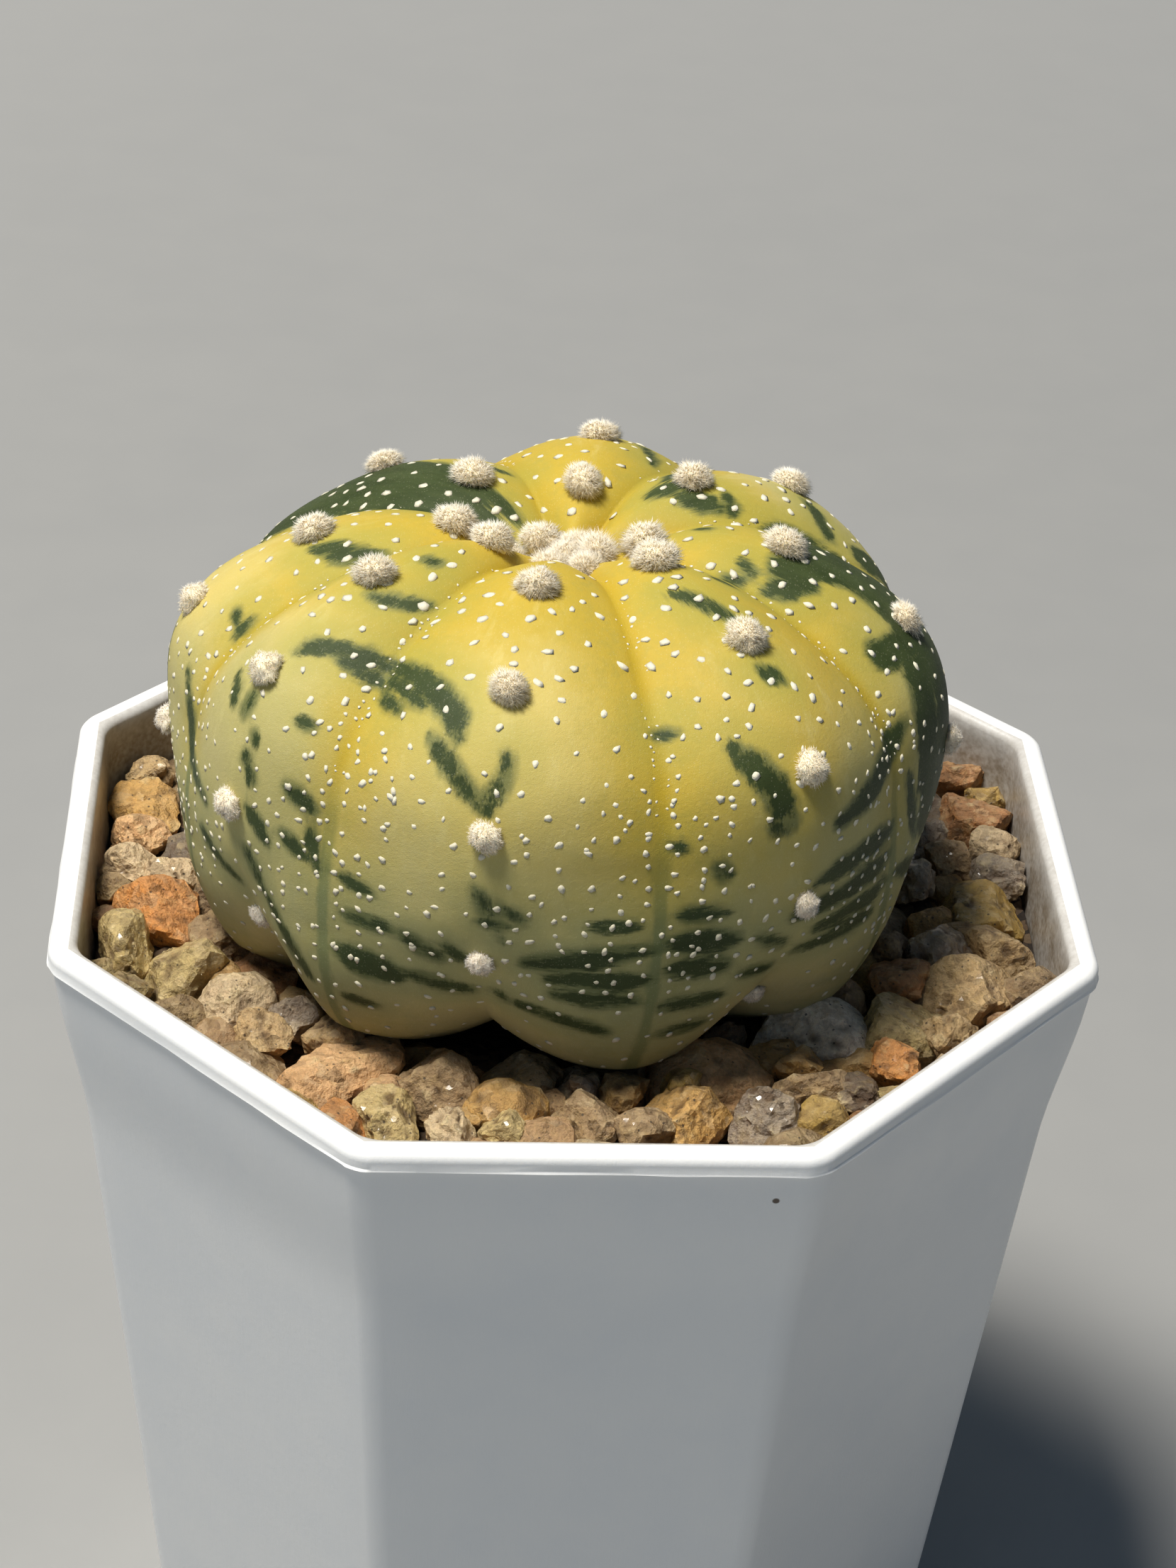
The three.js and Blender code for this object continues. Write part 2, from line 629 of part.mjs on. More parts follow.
// The pebbles in front lie where they are seen. The others are drawn at random, large ones first, and
// kept where the earlier ones leave them room.
function pebblePlaces() {
  const draw = seededDraw(STONE_SEED);
  const places = SEEN_STONES.map(([x, y, size]) => {
    return { place: new THREE.Vector3(x, y, restingHeight(x, y, size)), size };
  });
  STONE_SIZES.forEach((size, kind) => {
    for (let attempt = 0; attempt < STONE_TRIES[kind]; attempt += 1) {
      const x = RIM_INNER * (2 * draw() - 1);
      const y = RIM_INNER * (2 * draw() - 1);
      const inside = Math.max(Math.abs(x), Math.abs(y), (Math.abs(x) + Math.abs(y)) * Math.SQRT1_2);
      const fromPlant = Math.hypot(x - PLANT_PLACE.x, y - PLANT_PLACE.y);
      const place = new THREE.Vector3(x, y, restingHeight(x, y, size) - draw());
      const roomy = places.every(
        (other) => place.distanceTo(other.place) > STONE_SPACING * (size + other.size),
      );
      const lowest = POT_HEIGHT - SLAB_DEPTH - size * STONE_SUNK_SHARE;
      const shows = fromPlant > STONE_FROM_PLANT && place.z > lowest;
      if (inside < innerHalfWidth(SLAB_DEPTH) - size * STONE_WALL_SHARE && roomy && shows) {
        places.push({ place, size });
      }
    }
  });
  return places;
}

function buildGravel(seat) {
  const draw = seededDraw(STONE_SEED + 1);
  const room = filling(0, SOIL_DEPTH - GAP);
  let gravel = filling(SLAB_DEPTH, SOIL_DEPTH - GAP);
  for (const { place, size } of pebblePlaces()) {
    const stone = pebble(size, draw);
    stone.translate(place.x, place.y, place.z);
    gravel = gravel.add(toSolid(stone));
  }
  return mainBody(gravel.intersect(room).subtract(seat));
}

const materials = {
  pot: new THREE.MeshStandardMaterial({ color: 0xe6e6e2, roughness: 0.35, metalness: 0 }),
  soil: new THREE.MeshStandardMaterial({ color: 0x3a2b20, roughness: 0.95, metalness: 0 }),
  gravel: new THREE.MeshStandardMaterial({ color: 0xb28a52, roughness: 0.8, metalness: 0 }),
  stem: new THREE.MeshStandardMaterial({ color: 0xc9b04a, roughness: 0.5, metalness: 0 }),
  wool: new THREE.MeshStandardMaterial({ color: 0xd8c7a0, roughness: 0.95, metalness: 0 }),
};

const seat = plantSeat();
const pottedCactus = new THREE.Group();
pottedCactus.add(toMesh('pot', buildPot(), materials.pot));
pottedCactus.add(toMesh('potting_mix', buildPottingMix(seat), materials.soil));
pottedCactus.add(toMesh('gravel', buildGravel(seat), materials.gravel));
plant.add(toMesh('cactus_stem', buildStem(), materials.stem));
plant.add(toMesh('crown_wool', buildCrownWool(), materials.wool));
pottedCactus.add(plant);

export default pottedCactus;
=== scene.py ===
# %% [markdown]
# A variegated star cactus in an octagonal plastic pot, topped with pebbles. The plain solids of the
# part come first, as a fixed frame. Each of them is then replaced by a finer piece of the same form,
# or keeps its shape and gets a finish. Sizes are in millimetres, as a grower would measure them, and
# each piece is turned into metres once, when it is finished. Everything random has a seed, so that each
# run gives the same plant. That goes for Blender's vector noise too, which else starts from the clock.

# %% The frame
import math
import random

import bmesh
import bpy
import numpy as np
from mathutils import Matrix, Vector, noise


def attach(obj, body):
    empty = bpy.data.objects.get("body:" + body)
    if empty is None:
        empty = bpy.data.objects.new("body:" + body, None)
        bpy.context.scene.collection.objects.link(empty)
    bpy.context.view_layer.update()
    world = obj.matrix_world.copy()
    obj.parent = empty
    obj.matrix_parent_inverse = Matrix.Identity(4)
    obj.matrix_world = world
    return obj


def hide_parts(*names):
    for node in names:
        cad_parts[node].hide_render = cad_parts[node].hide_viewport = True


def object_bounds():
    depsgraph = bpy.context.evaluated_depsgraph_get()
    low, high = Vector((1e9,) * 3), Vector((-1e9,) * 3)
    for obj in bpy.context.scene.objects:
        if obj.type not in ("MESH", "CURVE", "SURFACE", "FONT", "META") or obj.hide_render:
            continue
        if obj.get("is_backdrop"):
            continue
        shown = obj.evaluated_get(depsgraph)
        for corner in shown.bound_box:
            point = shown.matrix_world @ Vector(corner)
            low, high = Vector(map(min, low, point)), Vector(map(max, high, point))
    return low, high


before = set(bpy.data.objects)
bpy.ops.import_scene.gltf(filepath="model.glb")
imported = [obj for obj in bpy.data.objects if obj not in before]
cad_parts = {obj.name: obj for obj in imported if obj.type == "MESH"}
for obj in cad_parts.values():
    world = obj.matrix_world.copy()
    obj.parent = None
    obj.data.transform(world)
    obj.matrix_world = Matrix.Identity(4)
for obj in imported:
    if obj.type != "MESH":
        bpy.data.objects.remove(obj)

MM = 0.001
NOISE_SEED = 7
noise.seed_set(NOISE_SEED)
cad_low, cad_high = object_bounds()
print("nodes:", sorted(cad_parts))
print("frame, mm:", [round(v / MM, 1) for v in (cad_high - cad_low)])

# %% [markdown]
# The camera stands in front of the pot and a little to its left, and looks down on it by a third of a
# right angle. Its place was worked out from the rim, which is a regular octagon. A long lens keeps the
# eight sides nearly parallel, as a phone does that is held close and zoomed in.

# %% Camera
CAMERA_PLACE = Vector((-14.58, -222.56, 228.69))
CAMERA_YAW = math.radians(4.017)
CAMERA_PITCH = math.radians(33.167)
CAMERA_ROLL = math.radians(3.226)
LENS = 83.05
SENSOR = 36
NEAREST_SEEN = 10


def placed(name, data):
    """An object with the given data, put into the scene."""
    made = bpy.data.objects.new(name, data)
    bpy.context.scene.collection.objects.link(made)
    return made


def aim(yaw, pitch, roll):
    """The turn of a camera that looks along +Y, then right by yaw, down by pitch, and tilts by roll."""
    forward = Vector((math.sin(yaw) * math.cos(pitch), math.cos(yaw) * math.cos(pitch), -math.sin(pitch)))
    right = Vector((math.cos(yaw), -math.sin(yaw), 0))
    up = right.cross(forward)
    tilted_right = right * math.cos(roll) + up * math.sin(roll)
    tilted_up = up * math.cos(roll) - right * math.sin(roll)
    return Matrix((tilted_right, tilted_up, -forward)).transposed().to_4x4()


camera_data = bpy.data.cameras.new("camera")
camera_data.lens = LENS
camera_data.sensor_width = SENSOR
camera_data.clip_start = NEAREST_SEEN * MM
camera = placed("camera", camera_data)
camera.matrix_world = Matrix.Translation(CAMERA_PLACE * MM) @ aim(CAMERA_YAW, CAMERA_PITCH, CAMERA_ROLL)
bpy.context.scene.camera = camera
print("camera to the middle of the pot's foot, mm:", round(CAMERA_PLACE.length))

# %% [markdown]
# Every material is built from a few kinds of node over and over, so short helpers add a node, do a sum
# or lay colours over one another. A value may be a number, a colour or another node's output, whose own
# tree tells where the next node goes. That keeps each effect as short as a sentence.

# %% Helpers for materials
SOCKET = bpy.types.NodeSocket


def tree_of(*values):
    """The node tree of the first socket among some values."""
    return next(value.id_data for value in values if isinstance(value, SOCKET))


def fill(node, values):
    """Fills a node's inputs, each with a number, a colour or another node's output."""
    for socket, value in values.items():
        if isinstance(value, SOCKET):
            node.id_data.links.new(value, node.inputs[socket])
        else:
            node.inputs[socket].default_value = value
    return node


def add(tree, kind, values=None, **settings):
    """Adds a shader node, sets it and fills its inputs."""
    made = tree.nodes.new("ShaderNode" + kind)
    for name, setting in settings.items():
        setattr(made, name, setting)
    return fill(made, values or {})


def total(operation, *values):
    """A calculation with numbers."""
    return add(tree_of(*values), "Math", dict(enumerate(values)), operation=operation).outputs[0]


def plus(first, second):
    return total("ADD", first, second)


def times(first, second):
    return total("MULTIPLY", first, second)


def vector(operation, *values, output="Vector"):
    """A calculation with places or directions, whose result may also be a number."""
    made = add(tree_of(*values), "VectorMath", dict(enumerate(values)), operation=operation)
    return made.outputs[output]


def between(share, first, second):
    """A number between two others."""
    return add(tree_of(share), "Mix", {0: share, 2: first, 3: second}, data_type="FLOAT").outputs[0]


def mixed(share, first, second):
    """A colour between two others."""
    first, second = (colour if isinstance(colour, SOCKET) else (*colour, 1) for colour in (first, second))
    return add(tree_of(share), "Mix", {0: share, 6: first, 7: second}, data_type="RGBA").outputs[2]


def layered(colour, *layers):
    """Colours laid over one another. Each layer is its share and its colour."""
    for share, over in layers:
        colour = mixed(share, colour, over)
    return colour


def eased(value, low, high, to_low=0, to_high=1):
    """A number that goes smoothly from one end to another while value goes from low to high."""
    values = {"Value": value, "From Min": low, "From Max": high, "To Min": to_low, "To Max": to_high}
    return add(value.id_data, "MapRange", values, interpolation_type="SMOOTHSTEP").outputs["Result"]


def painted(tree, name, output="Fac"):
    """What a piece carries on its points under a name."""
    return add(tree, "Attribute", attribute_name=name).outputs[output]


def stretched(place, stretch):
    """A place with its three directions stretched."""
    return vector("MULTIPLY", place, stretch)


def in_millimetres(tree):
    """The place on the piece, in millimetres."""
    return stretched(add(tree, "TexCoord").outputs["Object"], (1 / MM, 1 / MM, 1 / MM))


def axis_of(place, axis):
    """One of the three measures of a place: X, Y or Z."""
    return add(place.id_data, "SeparateXYZ", {0: place}).outputs[axis]


def new_material(name, colour):
    """A material with a Principled BSDF, whose viewport colour is the given one."""
    material = bpy.data.materials.new(name)
    material.use_nodes = True
    material.diffuse_color = (*colour, 1)
    return material, material.node_tree, material.node_tree.nodes["Principled BSDF"]


# %% [markdown]
# Two effects come back in several finishes. Grain is the fine unevenness of moulded plastic, skin and
# stone: two layers of noise, one a few times finer than the other. Specks are the odd dots in plastic,
# skin and stone: cells of a Voronoi pattern, of which only a share of the centres is kept, so that they
# look strewn and not printed.

# %% Shared effects
def new_group(name, inputs, output):
    """A node group with a place and named numbers for inputs, and one number for output."""
    group = bpy.data.node_groups.new(name, "ShaderNodeTree")
    group.interface.new_socket("Place", in_out="INPUT", socket_type="NodeSocketVector")
    for socket, value in inputs.items():
        made = group.interface.new_socket(socket, in_out="INPUT", socket_type="NodeSocketFloat")
        made.default_value = value
    group.interface.new_socket(output, in_out="OUTPUT", socket_type="NodeSocketFloat")
    return group, group.nodes.new("NodeGroupInput").outputs, group.nodes.new("NodeGroupOutput")


def clouds(place, scale, detail, output="Fac", **more):
    """Blender's own noise at a place."""
    values = {"Vector": place, "Scale": scale, "Detail": detail, **more}
    return add(place.id_data, "TexNoise", values).outputs[output]


def grain_group():
    """Two layers of noise, as a height from 0 to 1."""
    tree, given, result = new_group("Grain", {"Scale": 1.0, "Fine share": 0.3}, "Height")
    coarse = clouds(given["Place"], given["Scale"], 3)
    fine = clouds(given["Place"], times(given["Scale"], 4.7), 2)
    fill(result, {"Height": between(given["Fine share"], coarse, fine)})
    return tree


def specks_group():
    """Strewn round dots: Mask is 1 inside a dot."""
    tree, given, result = new_group("Specks", {"Scale": 1.0, "Share": 0.2, "Size": 0.2}, "Mask")
    cells = add(tree, "TexVoronoi", {"Vector": given["Place"], "Scale": given["Scale"]})
    chance = add(tree, "SeparateColor", {0: cells.outputs["Color"]}).outputs[0]
    kept = total("LESS_THAN", chance, given["Share"])
    dot = eased(cells.outputs["Distance"], times(given["Size"], 0.6), given["Size"], 1, 0)
    fill(result, {"Mask": times(kept, dot)})
    return tree


GRAIN = grain_group()
SPECKS = specks_group()


def grain(place, scale, fine_share=0.3):
    """The grain's height at a place."""
    values = {"Place": place, "Scale": scale, "Fine share": fine_share}
    return add(place.id_data, "Group", values, node_tree=GRAIN).outputs["Height"]


def specks(place, scale, share, size):
    """The mask of strewn dots at a place."""
    values = {"Place": place, "Scale": scale, "Share": share, "Size": size}
    return add(place.id_data, "Group", values, node_tree=SPECKS).outputs["Mask"]


def bumped(height, distance):
    """A normal that follows a height, of which 1 stands for distance in millimetres."""
    return add(height.id_data, "Bump", {"Height": height, "Distance": distance * MM}).outputs["Normal"]


print("shared effects:", [group.name for group in bpy.data.node_groups])

# %% [markdown]
# A piece is shaped in a bmesh, in millimetres. When it is done it becomes a mesh in metres, whose
# object stays at the origin, unturned, as the frame's own nodes do. It rides on the one body that the
# part has, and the node that it stands for is hidden.

# %% Helpers for pieces
VERTEX = bmesh.types.BMVert
EDGE = bmesh.types.BMEdge


def only(kind, items):
    """The vertices or the edges among what a bmesh operator gives back."""
    return [item for item in items if isinstance(item, kind)]


def mesh_of(name, bm):
    """Turns a bmesh into a mesh and frees it."""
    mesh = bpy.data.meshes.new(name)
    bm.to_mesh(mesh)
    bm.free()
    return mesh


def finished(name, bm, material, replaces=(), sharp_above=None):
    """Makes a piece of a bmesh in millimetres."""
    mesh = mesh_of(name, bm)
    mesh.transform(Matrix.Scale(MM, 4))
    mesh.shade_smooth()
    if sharp_above is not None:
        mesh.set_sharp_from_angle(angle=math.radians(sharp_above))
    mesh.materials.append(material)
    piece = placed(name, mesh)
    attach(piece, "root")
    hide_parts(*replaces)
    mesh.calc_loop_triangles()
    print(name, "triangles:", len(mesh.loop_triangles))
    return piece


def smoothstep(low, high, value):
    """How far value has come from low to high, from 0 to 1, with a soft start and end."""
    share = np.clip((value - low) / (high - low), 0, 1)
    return share * share * (3 - 2 * share)


# %% [markdown]
# The pot is one thin moulding: eight slightly tapering sides, a rim that is thicker than the wall and
# rounded on top, and a foot ring. It could be a lathe shape, but its corners are rounded by much less
# than its sides are wide. So an octagon starts it, its eight corners are bevelled, and the ring is
# extruded and scaled along the wall's profile: up the inside, over the rim, down the outside and under
# the foot.

# %% Pot: sizes
POT_HEIGHT = 78
RIM_OUTER = 37.45
RIM_INNER = 35.4
RIM_BAND = 1.4
RIM_ROUNDING = 0.7
WALL_AT_TOP = 36.5
WALL_TAPER = 0.0905
FLARE = 0.85
FLARE_START = 2.8
FLARE_END = 16
WALL = 1.35
FLOOR = 1.6
FOOT_RISE = 1.2
FOOT_WIDTH = 3
CORNER_SHARE = 0.075
HOLE_RADIUS = 3.2
HOLE_CIRCLE = 15
# Depths below the rim at which the wall's profile has a point.
INSIDE_DEPTHS = (65, 45, 28, 20, 16, 12, 8, 5, 3, 1.5)
OUTSIDE_DEPTHS = (2.1, 3, 5, 7, 9, 11, 13, 15, 17, 25, 40, 55, 70)


def outer_half_width(depth):
    """From the middle of the pot to a flat side's outside, at a depth below the rim."""
    return WALL_AT_TOP - WALL_TAPER * depth + FLARE * (1 - float(smoothstep(FLARE_START, FLARE_END, depth)))


def inner_half_width(depth):
    """From the middle of the pot to a flat side's inside."""
    parallel = WALL_AT_TOP - WALL_TAPER * depth - WALL
    share = float(smoothstep(0, FLARE_END, depth))
    return RIM_INNER + (parallel - RIM_INNER) * share


def octagon_half_width(x, y):
    """How wide an octagon around the axis is that passes through a place."""
    return max(abs(x), abs(y), (abs(x) + abs(y)) * math.sqrt(0.5))


def rounding(centre, radius, start, end, steps):
    """Points along an arc, as half widths and heights."""
    angles = [math.radians(start + (end - start) * step / steps) for step in range(steps + 1)]
    return [(centre[0] + radius * math.cos(a), centre[1] + radius * math.sin(a)) for a in angles]


def pot_profile():
    """Half widths and heights from the floor's inside round to the foot."""
    floor_top = FOOT_RISE + FLOOR
    floor_depth = POT_HEIGHT - floor_top
    inside = [(inner_half_width(depth), POT_HEIGHT - depth) for depth in INSIDE_DEPTHS]
    outside = [(outer_half_width(depth), POT_HEIGHT - depth) for depth in OUTSIDE_DEPTHS]
    at_foot = outer_half_width(POT_HEIGHT)
    burr_at = POT_HEIGHT - RIM_BAND
    return [
        *rounding((inner_half_width(floor_depth) - 2, floor_top + 2), 2, -90, 0, 5),
        *inside,
        *rounding((RIM_INNER + RIM_ROUNDING, POT_HEIGHT - RIM_ROUNDING), RIM_ROUNDING, 170, 90, 6),
        *rounding((RIM_OUTER - RIM_ROUNDING, POT_HEIGHT - RIM_ROUNDING), RIM_ROUNDING, 90, 0, 6),
        (RIM_OUTER, burr_at + 0.18),
        (RIM_OUTER + 0.1, burr_at),
        (outer_half_width(RIM_BAND) + 0.02, burr_at - 0.2),
        *outside,
        *rounding((at_foot - 0.6, 0.6), 0.6, 0, -90, 4),
        (at_foot - FOOT_WIDTH, 0),
        (at_foot - FOOT_WIDTH - FOOT_RISE, FOOT_RISE),
    ]


print("pot's mouth and foot across the flats, mm:", 2 * RIM_OUTER, round(2 * outer_half_width(POT_HEIGHT), 1))

# %% Pot: shape
CORNER_STEPS = 6
SIDE_CUTS = 9
SHARP_ON_POT = 32


def octagon(bm, half_width, height):
    """An octagonal face with rounded corners and a few points along each side."""
    half_turn = math.pi / 8
    place = Matrix.Translation((0, 0, height)) @ Matrix.Rotation(half_turn, 4, "Z")
    radius = half_width / math.cos(half_turn)
    made = bmesh.ops.create_circle(bm, cap_ends=True, segments=8, radius=radius, matrix=place)
    cut_back = CORNER_SHARE * half_width * math.tan(half_turn)
    bmesh.ops.bevel(bm, geom=made["verts"], affect="VERTICES", offset=cut_back, segments=CORNER_STEPS,
                    profile=0.5, material=-1)
    longest = max(edge.calc_length() for edge in bm.edges)
    sides = [edge for edge in bm.edges if edge.calc_length() > longest / 2]
    bmesh.ops.subdivide_edges(bm, edges=sides, cuts=SIDE_CUTS)


def extruded_ring(bm, edges, scale, rise):
    """Extrudes a ring of edges, scales it about the axis and lifts it. Gives the new ring."""
    made = bmesh.ops.extrude_edge_only(bm, edges=edges)["geom"]
    verts = only(VERTEX, made)
    bmesh.ops.scale(bm, vec=(scale, scale, 1), verts=verts)
    bmesh.ops.translate(bm, vec=(0, 0, rise), verts=verts)
    return [edge for edge in only(EDGE, made) if set(edge.verts) <= set(verts)]


def unevenly_moulded(bm):
    """The band's lower edge keeps an uneven burr, and the wall is a few hundredths out of true."""
    for vert in bm.verts:
        depth = POT_HEIGHT - vert.co.z
        outward = Vector((vert.co.x, vert.co.y, 0)).normalized()
        if abs(depth - RIM_BAND) < 0.02 and vert.co.xy.length > RIM_OUTER:
            wander = noise.noise(vert.co * 0.55) + 0.6 * noise.noise(vert.co * 1.7)
            vert.co += outward * 0.1 * wander + Vector((0, 0, 0.12 * noise.noise(vert.co * 0.4)))
        vert.co += outward * 0.05 * noise.noise(vert.co * 0.05)


def pot_shell():
    """The pot as one closed shell, without its holes."""
    bm = bmesh.new()
    profile = pot_profile()
    octagon(bm, *profile[0])
    ring = list(bm.edges)
    for (before, low), (after, high) in zip(profile, profile[1:]):
        ring = extruded_ring(bm, ring, after / before, high - low)
    bmesh.ops.edgeloop_fill(bm, edges=ring)
    bmesh.ops.recalc_face_normals(bm, faces=bm.faces)
    unevenly_moulded(bm)
    return bm


def drain_holes():
    """Round cutters for the hole in the middle of the floor and the four around it."""
    bm = bmesh.new()
    places = [(0, 0)]
    for quarter in range(4):
        angle = math.pi / 4 + math.pi / 2 * quarter
        places.append((HOLE_CIRCLE * math.cos(angle), HOLE_CIRCLE * math.sin(angle)))
    for x, y in places:
        bmesh.ops.create_cone(bm, cap_ends=True, segments=32, radius1=HOLE_RADIUS, radius2=HOLE_RADIUS,
                              depth=8, matrix=Matrix.Translation((x, y, FOOT_RISE)))
    return bm


def cut_out(bm, cutter_bm):
    """One bmesh less another, by a Boolean modifier."""
    body, cutter = (placed("cut", mesh_of("cut", source)) for source in (bm, cutter_bm))
    modifier = body.modifiers.new("holes", "BOOLEAN")
    modifier.object = cutter
    modifier.operation = "DIFFERENCE"
    modifier.solver = "EXACT"
    result = bmesh.new()
    result.from_object(body, bpy.context.evaluated_depsgraph_get())
    for item in (body, cutter):
        bpy.data.objects.remove(item)
    return result


# %% [markdown]
# The plastic is white polypropylene with a satin shine. On the real pot its walls show a soft, cloudy
# gloss from the mould, faint upright drag marks, and a few dark specks of grit near the rim. Dust from
# the pebbles and painted shade darken the inside towards brown, more so lower down. All of it is low in
# contrast, or the pot would look like stone.

# %% Pot: finish
def wall_middle(height):
    """The half width in the middle of the wall's thickness, at a height."""
    depth = total("SUBTRACT", POT_HEIGHT, height)
    return total("SUBTRACT", WALL_AT_TOP - WALL / 2 + 0.15, times(depth, WALL_TAPER))


def inside_pot(place):
    """1 on the pot's inner side and 0 on its outer side."""
    right = total("ABSOLUTE", axis_of(place, "X"))
    back = total("ABSOLUTE", axis_of(place, "Y"))
    slanting = times(plus(right, back), math.sqrt(0.5))
    half_width = total("MAXIMUM", total("MAXIMUM", right, back), slanting)
    return total("LESS_THAN", half_width, wall_middle(axis_of(place, "Z")))


def pot_plastic():
    white = (0.84, 0.84, 0.825)
    material, tree, shader = new_material("pot_plastic", white)
    place = in_millimetres(tree)
    height = axis_of(place, "Z")
    cloudy = grain(place, 0.05, 0.4)
    drag = grain(stretched(place, (1.4, 1.4, 0.05)), 1.0, 0.5)
    # Dust from the pebbles and painted shade: the inside darkens towards brown, more so lower down.
    dust_and_shade = times(inside_pot(place), eased(height, 78, 74.5, 0.55, 1))
    dust_and_shade = times(dust_and_shade, eased(grain(place, 0.5, 0.5), 0.3, 0.7, 0.65, 1))
    grit = times(specks(place, 0.24, 0.05, 0.075), eased(height, 66, 74))
    fill(shader, {
        "Base Color": layered(
            white,
            (eased(cloudy, 0.35, 0.7), (0.80, 0.81, 0.81)),
            (dust_and_shade, (0.20, 0.16, 0.115)),
            (grit, (0.10, 0.07, 0.05)),
        ),
        "Roughness": eased(grain(place, 0.16, 0.5), 0.3, 0.7, 0.3, 0.42),
        "Subsurface Weight": 0.12,
        "Subsurface Scale": 0.0012,
        "Subsurface Radius": (1, 0.95, 0.85),
        "Normal": bumped(plus(drag, grain(place, 2.2, 0.3)), 0.018),
    })
    return material


holed_pot = cut_out(pot_shell(), drain_holes())
finished("pot_shell", holed_pot, pot_plastic(), ["pot"], SHARP_ON_POT)

# %% [markdown]
# The stem is one smooth body with eight ribs. Each rib's crest is round, and the groove between two
# ribs is a crisp V near the crown, which runs out lower down, where the groove lines stand out as
# corners instead. It could be sculpted, but a formula keeps it true to the solid that it replaces: a
# ball of rows and columns, whose points are moved to the stem's surface. The columns fall on the
# crests and the grooves, so the V stays crisp.

# %% Stem: form
PLANT_PLACE = Vector((-1.9, -1.0, POT_HEIGHT - 3.5))
LEAN_BACK = 0.099
LEAN_RIGHT = 0.027
BODY_RADIUS = 28.3
EQUATOR = 16.2
CROWN_RISE = 15
BASE_DROP = 20.5
CROWN_FULLNESS = 2.46
BASE_FULLNESS = 2.38
APEX_DIP = 4.5
APEX_WIDTH = 6.9
RIB_COUNT = 8
FRONT_RIB = -98.7
REACH_FROM = 40
CROWN_GROOVE_SHARE = 0.73
CROWN_GROOVE_FADE = 4.5
BASE_GROOVE_FADE = 16
GROOVE_LATITUDES = [-45, -20, 0, 20, 45]
GROOVE_DEPTHS = [-0.138, -0.02, 0.043, 0.074, 0.12]
# Each rib from the front one anticlockwise, in degrees: how far its crest and the groove after it are
# off an even spacing, then its reach near the crown, and the way from the apex to its first tuft.
CREST_OFF = [-3.4, -1.2, -1.6, -0.1, -1.2, 4.0, 8.0, -0.3]
GROOVE_OFF = [-1.1, -1.4, -0.9, -0.7, 1.7, 6.4, 4.4, -5.4]
RIB_REACH = [1, 1, 0.98, 1, 1, 0.93, 0.93, 0.99]
FIRST_TUFT = [13.9, 10.4, 5.8, 12.0, 7.6, 11.0, 8.6, 7.6]

plant_matrix = (
    Matrix.Translation(PLANT_PLACE)
    @ Matrix.Rotation(-LEAN_BACK, 4, "X")
    @ Matrix.Rotation(LEAN_RIGHT, 4, "Y")
)


def rib_azimuth(rib):
    """The direction of a place between ribs: crest k is at k, and its groove at k + 0.5."""
    halves = range(-2, 2 * RIB_COUNT + 3)
    offsets = [(GROOVE_OFF if half % 2 else CREST_OFF)[half // 2 % RIB_COUNT] for half in halves]
    offset = np.interp(rib, np.array(halves) / 2, offsets)
    return math.radians(FRONT_RIB) + math.tau / RIB_COUNT * rib + np.radians(offset)


def rib_reach(rib):
    """How far the stem reaches near the crown, at a place between ribs."""
    reach = np.array(RIB_REACH)
    before = np.floor(rib).astype(int)
    share = smoothstep(0, 1, rib - before)
    return reach[before % RIB_COUNT] * (1 - share) + reach[(before + 1) % RIB_COUNT] * share


def stem_points(latitude, rib):
    """Points of the stem, in the plant's own frame, for arrays of latitudes and places between ribs."""
    degrees = np.degrees(latitude)
    above = latitude >= 0
    power = 2 / np.where(above, CROWN_FULLNESS, BASE_FULLNESS)
    radius = BODY_RADIUS * np.abs(np.cos(latitude)) ** power
    rise = np.where(above, CROWN_RISE, -BASE_DROP) * np.abs(np.sin(latitude)) ** power
    fade = smoothstep(0, np.where(above, CROWN_GROOVE_FADE, BASE_GROOVE_FADE), radius)
    across = 2 * np.abs(rib - np.round(rib))
    crisp = smoothstep(-30, 20, degrees)
    share = (1 - crisp) * np.sin(math.pi / 2 * across) + crisp * across ** 1.8
    depth = np.interp(degrees, GROOVE_LATITUDES, GROOVE_DEPTHS) * share * fade
    reach = 1 + (rib_reach(rib) - 1) * fade * smoothstep(0, REACH_FROM, degrees)
    ribbed_radius = radius * reach * (1 - depth)
    ribbed_rise = rise * reach * (1 - np.where(above, CROWN_GROOVE_SHARE, 1) * depth)
    dip = APEX_DIP * np.exp(-((ribbed_radius / APEX_WIDTH) ** 2))
    turn = rib_azimuth(rib)
    height = EQUATOR + ribbed_rise - dip
    return np.stack([ribbed_radius * np.cos(turn), ribbed_radius * np.sin(turn), height], -1)


def wavy(points):
    """A slight unevenness of a grown body, along its own outward direction."""
    rise = [noise.noise(Vector(p) * 0.13) + 0.4 * noise.noise(Vector(p) * 0.31) for p in points]
    return np.array(rise) * 0.16


def on_stem(latitude, rib):
    """A matrix that sets a small shape on the stem, its +Z along the surface's outward direction."""
    near = 0.01
    latitudes = np.array([latitude, latitude + near, latitude - near, latitude, latitude])
    ribs = np.array([rib, rib, rib, rib + near, rib - near])
    place, north, south, east, west = (Vector(p) for p in stem_points(latitudes, ribs))
    outward = (east - west).cross(north - south).normalized()
    place += outward * float(wavy([place])[0])
    return plant_matrix @ Matrix.Translation(place) @ outward.to_track_quat("Z", "Y").to_matrix().to_4x4()


crest = stem_points(np.radians([0.0, 0.0]), np.array([0.0, 4.0]))
print("stem across, mm:", round(float(np.linalg.norm(crest[0] - crest[1])), 1))
